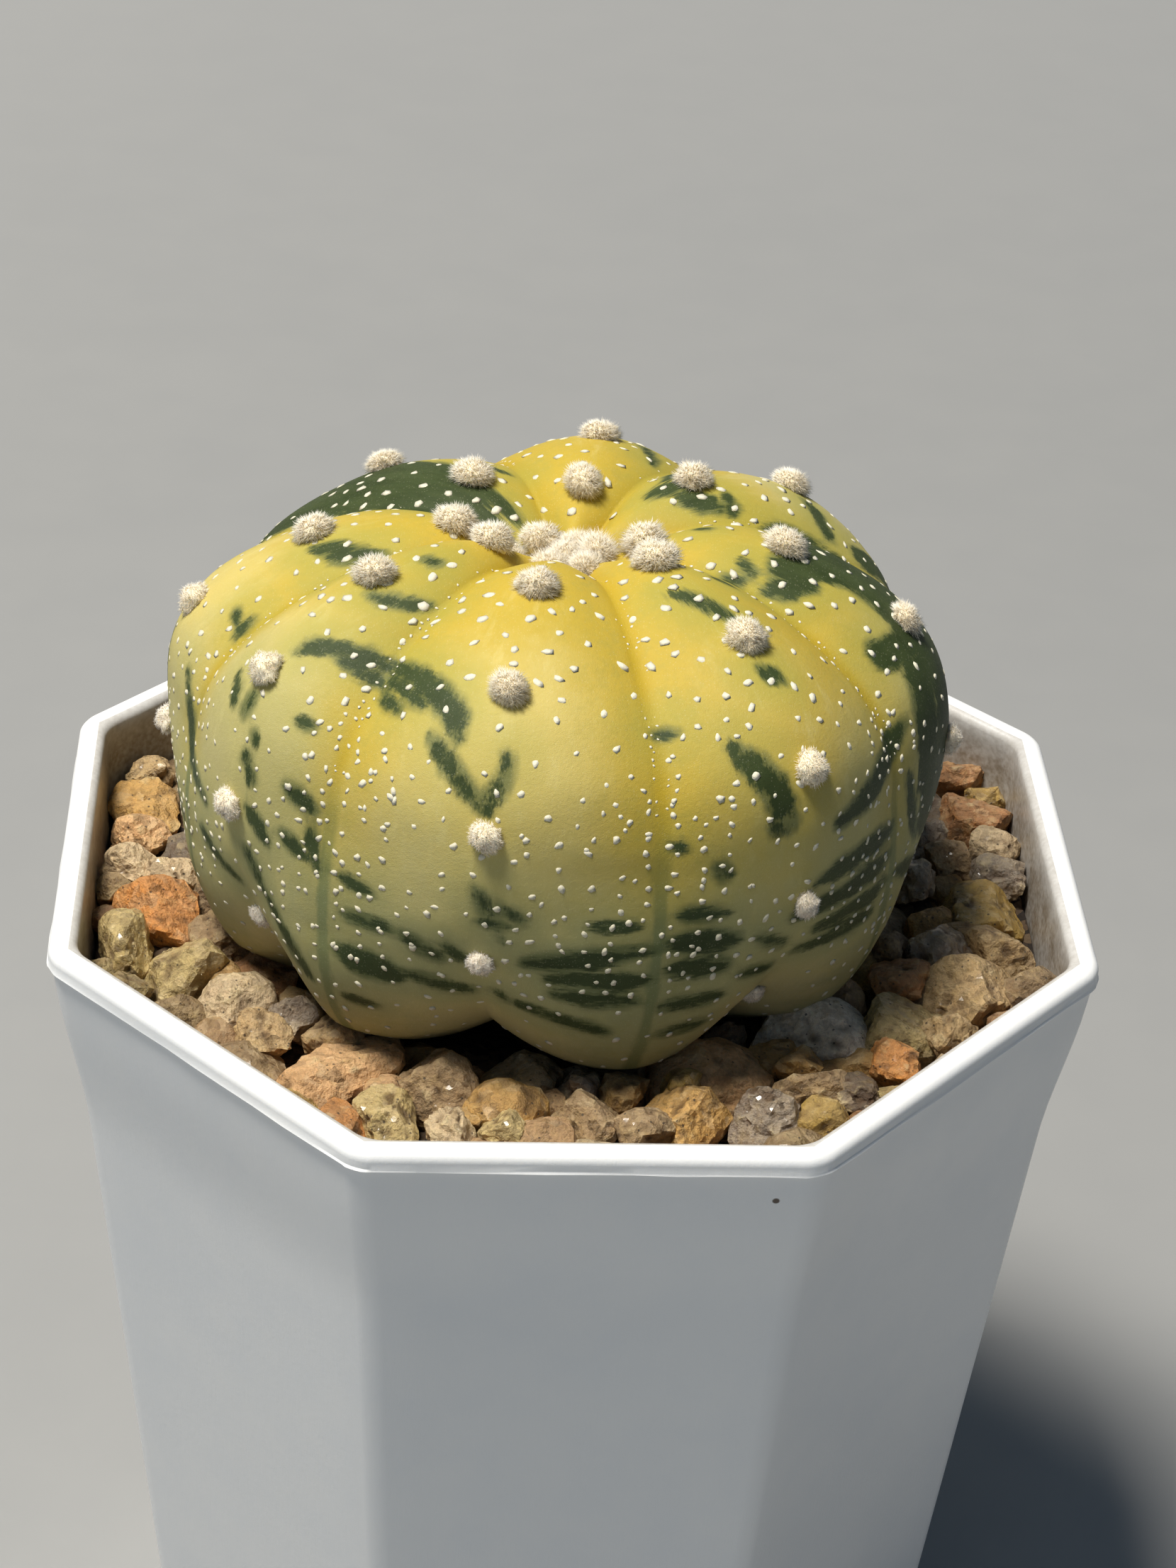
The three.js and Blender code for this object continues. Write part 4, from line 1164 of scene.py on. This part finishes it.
# %% Crown wool
# Each lump's place from the apex, in the plant's own frame, and its radius.
CROWN_LUMPS = [(-1.5, -2.8, 1.3), (1.1, -3.1, 1.25), (2.1, -0.4, 1.4), (-0.3, -0.7, 1.15), (0.6, 1.4, 1.1)]
CROWN_WOOL = (1900, 0.7, 0.015, 0.6, 0.25)
CROWN_KINDS = 3
CROWN_SEED = 8
CROWN_STEPS = 60


def crown_rise(x, y):
    """How high above the stem's own origin its surface is, near the apex."""
    ribs = (math.atan2(y, x) - math.radians(FRONT_RIB)) / (math.tau / RIB_COUNT) % RIB_COUNT
    latitude = np.radians(np.linspace(90, 40, CROWN_STEPS))
    points = stem_points(latitude, np.full(CROWN_STEPS, ribs))
    return float(np.interp(math.hypot(x, y), np.linalg.norm(points[:, :2], axis=1), points[:, 2]))


def build_crown_wool():
    """The knot of wool, whose lumps lean outward a little."""
    draw = random.Random(CROWN_SEED)
    seeds = [woolly_tuft(draw, *CROWN_WOOL) for _ in range(CROWN_KINDS)]
    bm = bmesh.new()
    bm.verts.layers.float.new("fibre_tip")
    for x, y, radius in CROWN_LUMPS:
        place = plant_matrix @ Matrix.Translation((x, y, crown_rise(x, y) + radius * 0.2))
        lean = Matrix.Rotation(0.08 * x, 4, "Y") @ Matrix.Rotation(-0.08 * y, 4, "X")
        turned = Matrix.Rotation(draw.uniform(0, math.tau), 4, "Z")
        shape = turned @ Matrix.Diagonal((radius, radius, radius * 0.95, 1))
        add_copy(bm, draw.choice(seeds), place @ lean @ shape)
    finished("crown_tufts", bm, WOOL, ["crown_wool"])


build_crown_wool()

# %% [markdown]
# The top dressing is coarse broken gravel of ochre and tan granite and cloudy quartz. The places of
# the stones that lie in front are listed one by one, and the rest are drawn by a seeded rule: large ones
# first, each kept where the earlier ones leave it room. They fill the strip between the wall and the
# plant, and reach under its overhang.

# %% Gravel: places
STONE_TOP_DEPTH = 2.1
GRAVEL_FALL = 0.035
SLAB_DEPTH = 6.8
SOIL_DEPTH = 13
GAP = 0.3
SEAT_CLEARANCE = 0.5
STONE_SIZES = [3.7, 2.8, 2.0, 1.6]
STONE_TRIES = [1400, 1800, 1800, 2400]
STONE_SPACING = 0.69
STONE_FROM_PLANT = 20
STONE_SEED = 11
STREWN_COLOURS = ["ochre", "tan", "orange", "cream", "brown", "peach", "grey", "straw", "rust", "crystal"]
# Places and half lengths of the stones in front, from the left round to the right, and their colour.
# Stones that lie in shade get the near-black tint, as painted shade.
SEEN_STONES = [
    (-32.6, 19, 1.9, "rust"), (-32, 15, 1.8, "tan"), (-32.4, 10.9, 2.7, "ochre"), (-32.6, 6, 2.2, "peach"),
    (-32.8, 1.8, 2.1, "cream"), (-29.6, 1.6, 1.9, "cream"), (-30, -3.6, 3.5, "orange"),
    (-32.6, -8, 3.0, "straw"), (-28.2, -10.7, 3.7, "straw"), (-22.2, -10, 3.0, "rust"),
    (-25.5, -6.4, 2.2, "brown"), (-24.2, -15.8, 3.4, "cream"), (-20.4, -17, 2.1, "grey"),
    (-22.4, -19.6, 2.2, "tan"), (-17, -22.8, 4.5, "peach"), (-17.2, -18.8, 2.1, "tan"),
    (-13.4, -28.6, 2.5, "straw"), (-10, -24.7, 3.6, "brown"), (-9.3, -30.6, 1.8, "cream"),
    (-4.3, -22.8, 3.8, "cream"), (-5.5, -30.6, 1.7, "straw"), (0.1, -28, 2.8, "brown"),
    (3.9, -30.4, 1.9, "brown"), (7.1, -28.4, 3.1, "ochre"), (9.4, -22.2, 4.6, "peach"),
    # The pale stone's tint is partly its own and partly raised as painted light, where the plant's shade
    # falls on it.
    (12.8, -27.4, 2.8, "grey"), (16.4, -24.9, 2.7, "brown"), (16.7, -17, 4.6, "pale"),
    (23, -16.2, 3.9, "straw"), (22.4, -22, 2.0, "orange"), (19.4, -25.6, 1.7, "dark"),
    (28.4, -12.9, 3.6, "tan"), (26.2, -18.4, 1.8, "tan"), (32, -7.2, 2.9, "tan"), (27.6, -7.1, 2.6, "grey"),
    (30.8, -1.6, 3.6, "crystal"), (24, -11.4, 2.2, "rust"), (33, 3.2, 2.1, "grey"), (32.8, 7, 2.0, "cream"),
    (29.4, 5, 2.1, "brown"), (28, 9, 1.7, "grey"), (32, 11.4, 2.9, "rust"), (31.6, 17.6, 2.7, "rust"),
    (26.5, 1.6, 1.8, "grey"), (23.2, -7.7, 1.6, "dark"), (10.5, -17.6, 2.2, "dark"),
    (-0.5, -18.6, 2.1, "dark"),
]


def seeded_draw(seed):
    """A repeatable draw between 0 and 1, the one that the part's solids are strewn with."""
    state = seed

    def draw():
        nonlocal state
        state = (state + 0x6D2B79F5) & 0xFFFFFFFF
        t = state
        t = ((t ^ (t >> 15)) * (t | 1)) & 0xFFFFFFFF
        t ^= (t + (((t ^ (t >> 7)) * (t | 61)) & 0xFFFFFFFF)) & 0xFFFFFFFF
        return ((t ^ (t >> 14)) & 0xFFFFFFFF) / 4294967296

    return draw


def from_plant(x, y):
    """The distance from the plant's axis."""
    return math.hypot(x - PLANT_PLACE.x, y - PLANT_PLACE.y)


def underside_height(distance):
    """The height under the plant's body at a distance from its axis."""
    share = min(distance / (BODY_RADIUS + 1), 1)
    return PLANT_PLACE.z + EQUATOR - BASE_DROP * (1 - share ** BASE_FULLNESS) ** (1 / BASE_FULLNESS)


def resting_height(x, y, size):
    """The height of a stone's middle: a little below the rim, and under the plant's overhang."""
    level = POT_HEIGHT - STONE_TOP_DEPTH - GRAVEL_FALL * (y + RIM_INNER) - size * 0.75
    nearest = max(from_plant(x, y) - size * 0.7, 0)
    return min(level, underside_height(nearest) - size * 0.7 - SEAT_CLEARANCE)


def stone_places():
    """Places, half lengths and colours of all stones."""
    draw = seeded_draw(STONE_SEED)
    found = [(Vector((x, y, resting_height(x, y, size))), size, colour) for x, y, size, colour in SEEN_STONES]
    for size, tries in zip(STONE_SIZES, STONE_TRIES):
        for _ in range(tries):
            x = RIM_INNER * (2 * draw() - 1)
            y = RIM_INNER * (2 * draw() - 1)
            place = Vector((x, y, resting_height(x, y, size) - 0.3 - draw()))
            colour = STREWN_COLOURS[int(draw() * len(STREWN_COLOURS))]
            roomy = all((place - other).length > STONE_SPACING * (size + taken) for other, taken, _ in found)
            shows = from_plant(x, y) > STONE_FROM_PLANT and place.z > POT_HEIGHT - SLAB_DEPTH - size * 0.2
            inside = octagon_half_width(x, y) < inner_half_width(SLAB_DEPTH) - size * 0.6
            if inside and roomy and shows:
                found.append((place, size, colour))
    return found


STONES = stone_places()
print("stones:", len(STONES))

# %% [markdown]
# A broken stone is bounded by flat faces that wear has rounded. It could be cut from a block with
# planes and bevelled. Here a fine ball is pressed against ten to fourteen planes at once instead: each
# point moves inwards along its own line until it lies under all planes, with a soft minimum that rounds
# the edges. Small chipped faces and noise then roughen the stone, and no point may pass the pot's wall.

# %% Gravel: shape
STONE_COLOURS = {
    "ochre": (0.50, 0.28, 0.075), "tan": (0.42, 0.28, 0.13), "orange": (0.52, 0.21, 0.05),
    "peach": (0.60, 0.35, 0.16), "cream": (0.56, 0.42, 0.25), "brown": (0.27, 0.175, 0.085),
    "grey": (0.27, 0.22, 0.17), "straw": (0.44, 0.33, 0.135), "rust": (0.33, 0.14, 0.045),
    # The near-black tint is painted shade.
    "pale": (0.86, 0.76, 0.62), "dark": (0.06, 0.04, 0.028), "crystal": (0.46, 0.29, 0.06),
}
GLASSY = {"grey": 0.85, "crystal": 0.6, "straw": 0.5, "brown": 0.4, "cream": 0.3, "tan": 0.2}
WORN_ROUND = 120
CHIPS = [(1.6, 0.45), (0.75, 0.34)]
SHADED_UNDER_PLANT = (17, 21.5)
WALL_PASS = 0.1


def pressed(directions, draw):
    """How far out each direction reaches in a stone that many planes bound, with worn edges."""
    broad, small = draw.randint(7, 9), draw.randint(3, 5)
    normals = np.array([[draw.gauss(0, 1) for _ in range(3)] for _ in range(broad + small)])
    normals /= np.linalg.norm(normals, axis=1)[:, None]
    depths = [draw.uniform(0.66, 0.92) for _ in range(broad)]
    depths += [draw.uniform(0.95, 1.1) for _ in range(small)]
    towards = np.maximum(directions @ normals.T, 0.02) / np.array(depths)
    reach = (towards ** WORN_ROUND).sum(1) ** (-1 / WORN_ROUND)
    return np.minimum(reach, 1.25)


def chipped(place, size, chip_size):
    """The height of small broken faces: each cell of the stone has a plane with a tilt of its own."""
    spread, centres = noise.voronoi(place * size / chip_size)
    tilt = noise.noise_vector(centres[0] * 7.3) * 1.5
    rise = tilt.dot(place * size / chip_size - centres[0])
    return max(min(rise, 0.5), -0.5) * min((spread[1] - spread[0]) * 7, 1)


def add_stone(bm, layers, place, size, colour, subdivisions, tones, draw):
    """One stone, whose points carry what its finish reads."""
    made = bmesh.ops.create_icosphere(bm, subdivisions=subdivisions, radius=1)["verts"]
    directions = np.array([vert.co[:] for vert in made])
    reach = pressed(directions, draw)
    offset = Vector([draw.uniform(0, 100) for _ in range(3)])
    shape = (
        Matrix.Translation(place)
        @ Matrix.Rotation(draw.uniform(-0.3, 0.3), 4, "X")
        @ Matrix.Rotation(draw.uniform(-0.3, 0.3), 4, "Y")
        @ Matrix.Rotation(draw.uniform(0, math.pi), 4, "Z")
        @ Matrix.Diagonal((size, size * draw.uniform(0.78, 0.98), size * draw.uniform(0.7, 0.86), 1))
    )
    in_light = float(smoothstep(*SHADED_UNDER_PLANT, from_plant(place.x, place.y)))
    tint = Vector(STONE_COLOURS[colour]) * draw.uniform(*tones) * (0.1 + 0.9 * in_light)
    glass = GLASSY.get(colour, 0.05) * draw.uniform(0.7, 1.1)
    for vert, direction, out in zip(made, directions, reach):
        toward = Vector(direction)
        chip = sum(rise * chipped(toward * out + offset, size, cell) for cell, rise in CHIPS)
        rough = 0.1 * noise.noise(toward * 1.5 + offset)
        rough += 0.03 * noise.noise(toward * 9 * size / 2.5 + offset)
        vert.co = shape @ (toward * (out + (chip + rough) / size))
        half_width = octagon_half_width(vert.co.x, vert.co.y)
        inside = min((inner_half_width(POT_HEIGHT - vert.co.z) + WALL_PASS) / half_width, 1)
        vert.co = (vert.co.x * inside, vert.co.y * inside, vert.co.z)
        vert[layers["tint"]] = (*tint, 1)
        vert[layers["glass"]] = glass
        vert[layers["offset"]] = offset
        vert[layers["relief"]] = (chip + rough) * 2


def new_stone_bmesh():
    """A bmesh with layers for a stone's colour, glassiness, place in the pattern, pits and upper side."""
    bm = bmesh.new()
    layers = {
        "tint": bm.verts.layers.float_color.new("stone_tint"),
        "glass": bm.verts.layers.float.new("stone_glass"),
        "offset": bm.verts.layers.float_vector.new("stone_offset"),
        "relief": bm.verts.layers.float.new("stone_relief"),
        "up": bm.verts.layers.float.new("stone_up"),
    }
    return bm, layers


# %% [markdown]
# The stone itself is granite and quartz: crystals of under a millimetre, in the stone's own colour, in
# cream and in near black, rusty blotches, a few dark grains of mica, and small glossy faces. Painted
# shade darkens its pits and painted highlights pale its ridges, painted bounce light warms its sides and
# painted light pales its upper faces. Each stone carries its own colour and its own place in the
# pattern, so that no two look alike.

# %% Gravel: finish
SHARP_ON_STONE = 14
LARGE_STONE = 1.5
# The gravel's pieces: their stones, how fine they are, and how bright their tint may be.
GRAVEL_PIECES = [
    ("gravel_front", STONES[:len(SEEN_STONES)], 4, (1.2, 1.6)),
    ("gravel_rest", STONES[len(SEEN_STONES):], 3, (0.6, 1.25)),
]


def crystals_of(tree, place):
    """Crystals with bent outlines: three chances of each one, and the height of its tilted face."""
    warp = clouds(place, 0.9, 2, "Color")
    bent = vector("ADD", place, stretched(warp, (1.4, 1.4, 1.4)))
    cells = add(tree, "TexVoronoi", {"Vector": bent, "Scale": 1.3, "Randomness": 1}).outputs
    tilt = vector("SUBTRACT", cells["Color"], (0.5, 0.5, 0.5))
    from_middle = vector("SUBTRACT", bent, cells["Position"])
    facet = vector("DOT_PRODUCT", tilt, from_middle, output="Value")
    return add(tree, "SeparateColor", {0: cells["Color"]}).outputs, facet


def pebble_stone():
    material, tree, shader = new_material("pebble_stone", STONE_COLOURS["tan"])
    place = vector("ADD", in_millimetres(tree), painted(tree, "stone_offset", "Vector"))
    tint = painted(tree, "stone_tint", "Color")
    glass, relief, up = (painted(tree, name) for name in ("stone_glass", "stone_relief", "stone_up"))
    chances, facet = crystals_of(tree, place)
    blotch = grain(place, 0.45, 0.4)
    fine = grain(place, 3.2, 0.5)
    broken = clouds(place, 1.6, 6, Roughness=0.65)
    fill(shader, {
        "Base Color": layered(
            tint,
            # Painted light: the sides and undersides are warmed as painted bounce light, and the upper faces
            # are paled as painted light from above.
            (eased(up, 0.45, -0.2, 0, 0.35), (0.60, 0.32, 0.10)),
            (eased(up, 0.5, 0.9, 0, 0.14), (0.60, 0.50, 0.35)),
            (eased(blotch, 0.46, 0.7, 0, 0.35), (0.66, 0.46, 0.19)),
            (eased(blotch, 0.5, 0.3, 0, 0.25), (0.36, 0.17, 0.045)),
            (eased(chances[0], 0.75, 0.95, 0, 0.22), (0.80, 0.62, 0.38)),
            (eased(chances[1], 0.7, 0.95, 0, 0.35), (0.13, 0.085, 0.045)),
            # Painted shade darkens the pits, and painted highlights pale the ridges.
            (eased(relief, 0.05, -0.5, 0, 0.8), (0.10, 0.05, 0.018)),
            (eased(relief, 0.12, 0.6, 0, 0.5), (0.86, 0.69, 0.38)),
            (times(specks(place, 2.3, 0.14, 0.28), 0.8), (0.05, 0.04, 0.03)),
            (eased(fine, 0.35, 0.6, 0.3, 0), (0.08, 0.05, 0.025)),
        ),
        "Roughness": total("SUBTRACT", eased(chances[2], 0.2, 1, 0.62, 0.3), times(glass, 0.2)),
        "Coat Weight": times(glass, eased(chances[2], 0.3, 0.6)),
        "Coat Roughness": 0.12,
        "Subsurface Weight": 0.1,
        "Subsurface Scale": 0.0008,
        "Subsurface Radius": (1, 0.7, 0.4),
        "Normal": bumped(plus(facet, times(broken, 0.9)), 0.7),
    })
    return material


STONE = pebble_stone()


def build_gravel():
    """The stones in front are finer than the rest, which are smaller and lie half covered."""
    draw = random.Random(STONE_SEED)
    for name, chosen, finest, tones in GRAVEL_PIECES:
        bm, layers = new_stone_bmesh()
        for place, size, colour in chosen:
            subdivisions = min(finest, 4 if size > LARGE_STONE else 3)
            add_stone(bm, layers, place, size, colour, subdivisions, tones, draw)
        bm.normal_update()
        # Each point keeps how far it faces up, which the finish uses for its painted light.
        for vert in bm.verts:
            vert[layers["up"]] = vert.normal.z
        finished(name, bm, STONE, ["gravel"], SHARP_ON_STONE)


build_gravel()

# %% [markdown]
# Between the pebbles one looks down on finer grit, and under the plant on shaded soil. Both run down
# to near black, partly as painted shade in the gaps. A sheet of grit closes the gaps: a grid cut to the
# octagon, lifted by noise into small lumps, and lowered where the plant's body needs room.

# %% Grit under the pebbles
GRIT_CELLS = 110
GRIT_DEPTH = 6.4
UNDER_PLANT = 1.4


def grit_mix():
    brown = (0.16, 0.11, 0.07)
    material, tree, shader = new_material("grit_mix", brown)
    place = in_millimetres(tree)
    lumps = add(tree, "TexVoronoi", {"Vector": place, "Scale": 1.1})
    each = add(tree, "SeparateColor", {0: lumps.outputs["Color"]}).outputs
    fine = grain(place, 3.5, 0.5)
    # The soil's colour runs down to near black, partly as painted shade in the gaps.
    soil_and_painted_shade = mixed(eased(each[0], 0.2, 0.9), (0.03, 0.02, 0.014), (0.16, 0.10, 0.055))
    fill(shader, {
        "Base Color": layered(
            soil_and_painted_shade,
            (eased(each[1], 0.82, 0.9, 0, 0.6), (0.30, 0.20, 0.11)),
            (eased(fine, 0.3, 0.7, 0.3, 0), (0.02, 0.014, 0.01)),
        ),
        "Roughness": 0.92,
        "Normal": bumped(total("SUBTRACT", fine, lumps.outputs["Distance"]), 0.45),
    })
    return material


GRIT = grit_mix()


def build_grit():
    """The sheet of grit, whose rim is drawn down and closed below."""
    bm = bmesh.new()
    half = inner_half_width(GRIT_DEPTH) - GAP
    bmesh.ops.create_grid(bm, x_segments=GRIT_CELLS, y_segments=GRIT_CELLS, size=RIM_INNER,
                          matrix=Matrix.Translation((0, 0, POT_HEIGHT - GRIT_DEPTH)))
    for side in range(8):
        outward = Vector((math.cos(math.tau * side / 8), math.sin(math.tau * side / 8), 0))
        bmesh.ops.bisect_plane(bm, geom=[*bm.verts, *bm.edges, *bm.faces], plane_co=outward * half,
                               plane_no=outward, clear_outer=True)
    rim = [edge for edge in bm.edges if edge.is_boundary]
    sunk = bmesh.ops.extrude_edge_only(bm, edges=rim)["geom"]
    low_verts = only(VERTEX, sunk)
    low_edges = [edge for edge in only(EDGE, sunk) if set(edge.verts) <= set(low_verts)]
    top_verts = [vert for vert in bm.verts if vert not in set(low_verts)]
    bmesh.ops.translate(bm, vec=(0, 0, GRIT_DEPTH - SOIL_DEPTH + GAP), verts=low_verts)
    bmesh.ops.edgeloop_fill(bm, edges=low_edges)
    for vert in top_verts:
        x, y, _ = vert.co
        bump = 0.55 * noise.noise(Vector((x, y, 0)) * 0.7) + 0.35 * noise.noise(Vector((x, y, 9)) * 1.9)
        ceiling = underside_height(from_plant(x, y)) - UNDER_PLANT
        vert.co.z = max(min(vert.co.z + bump, ceiling + 0.5 * bump), POT_HEIGHT - SOIL_DEPTH + 2 * GAP)
    bmesh.ops.recalc_face_normals(bm, faces=bm.faces)
    finished("grit_layer", bm, GRIT, ["gravel"])


build_grit()

# %% [markdown]
# The potting mix below is hidden, apart from what shows through the drain holes. Its solid already has
# the right shape, so it stays and only gets the finish of bark and peat.

# %% Potting mix
mix_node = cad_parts["potting_mix"]
mix_node.data.materials.clear()
mix_node.data.materials.append(GRIT)

# %% [markdown]
# A plain floor that sweeps up behind is enough of a setting. It is paler further off, as painted light,
# so that the far part stays bright. The light is soft daylight from high on the left, as through a large
# window, with a cooler, weaker light from all around. So the left sides of the pot are bright, the front
# ones half lit and the right ones in a blue-grey shade.

# %% Stage and light
FLOOR_REACH = 1.6
SWEEP_FROM = 1.0
SWEEP_RADIUS = 0.4
WALL_RISE = 1.2
SWEEP_STEPS = 16
LIT_HEIGHT = 0.07
SKY_COLOUR = (0.42, 0.66, 1.0)
SKY_STRENGTH = 0.13


def stage_paint():
    pale = (0.31, 0.31, 0.303)
    material, tree, shader = new_material("stage_paint", pale)
    place = in_millimetres(tree)
    away = vector("LENGTH", place, output="Value")
    mottled = mixed(eased(grain(place, 0.02, 0.5), 0.3, 0.7), pale, (0.297, 0.298, 0.293))
    fill(shader, {
        # Painted light: the floor and wall are paler further off.
        "Base Color": mixed(eased(away, 150, 700), mottled, (0.48, 0.48, 0.47)),
        "Roughness": 0.8,
    })
    return material


def build_stage():
    """A strip for the floor, a quarter turn, and a strip for the wall."""
    bm = bmesh.new()
    ends = [bm.verts.new((x, SWEEP_FROM, 0)) for x in (-FLOOR_REACH, FLOOR_REACH)]
    line = bm.edges.new(ends)
    front = bmesh.ops.extrude_edge_only(bm, edges=[line])["geom"]
    bmesh.ops.translate(bm, vec=(0, -SWEEP_FROM - FLOOR_REACH, 0), verts=only(VERTEX, front))
    turned = bmesh.ops.spin(bm, geom=[line, *ends], cent=(0, SWEEP_FROM, SWEEP_RADIUS), axis=(1, 0, 0),
                            angle=math.pi / 2, steps=SWEEP_STEPS)["geom_last"]
    top = bmesh.ops.extrude_edge_only(bm, edges=only(EDGE, turned))["geom"]
    bmesh.ops.translate(bm, vec=(0, 0, WALL_RISE), verts=only(VERTEX, top))
    bmesh.ops.recalc_face_normals(bm, faces=bm.faces)
    mesh = mesh_of("stage", bm)
    mesh.shade_smooth()
    mesh.materials.append(stage_paint())
    floor = placed("stage", mesh)
    floor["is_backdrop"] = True


def soft_light(name, direction, distance, size, power, colour):
    """A square light that shines on the plant from a direction."""
    data = bpy.data.lights.new(name, "AREA")
    data.size = size
    data.energy = power
    data.color = colour
    lamp = placed(name, data)
    towards = Vector(direction).normalized()
    lamp.location = Vector((0, 0, LIT_HEIGHT)) + towards * distance
    lamp.rotation_euler = towards.to_track_quat("Z", "Y").to_euler()
    print(name, "power in watts:", power)


build_stage()
soft_light("window", (-0.30, -0.04, 0.95), 1.1, 0.32, 19.8, (1.0, 0.96, 0.89))
soft_light("side_fill", (-0.5, -0.85, 0.1), 1.2, 0.4, 1.0, (0.74, 0.87, 1.0))

world = bpy.data.worlds.new("daylight")
bpy.context.scene.world = world
world.use_nodes = True
sky = world.node_tree.nodes["Background"]
sky.inputs["Color"].default_value = (*SKY_COLOUR, 1)
sky.inputs["Strength"].default_value = SKY_STRENGTH
bpy.context.scene.view_settings.view_transform = "Standard"

# %% Sizes and the end
new_low, new_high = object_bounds()
growth = (new_high - new_low) - (cad_high - cad_low)
print("wider than the frame, mm:", [round(value / MM, 2) for value in growth])
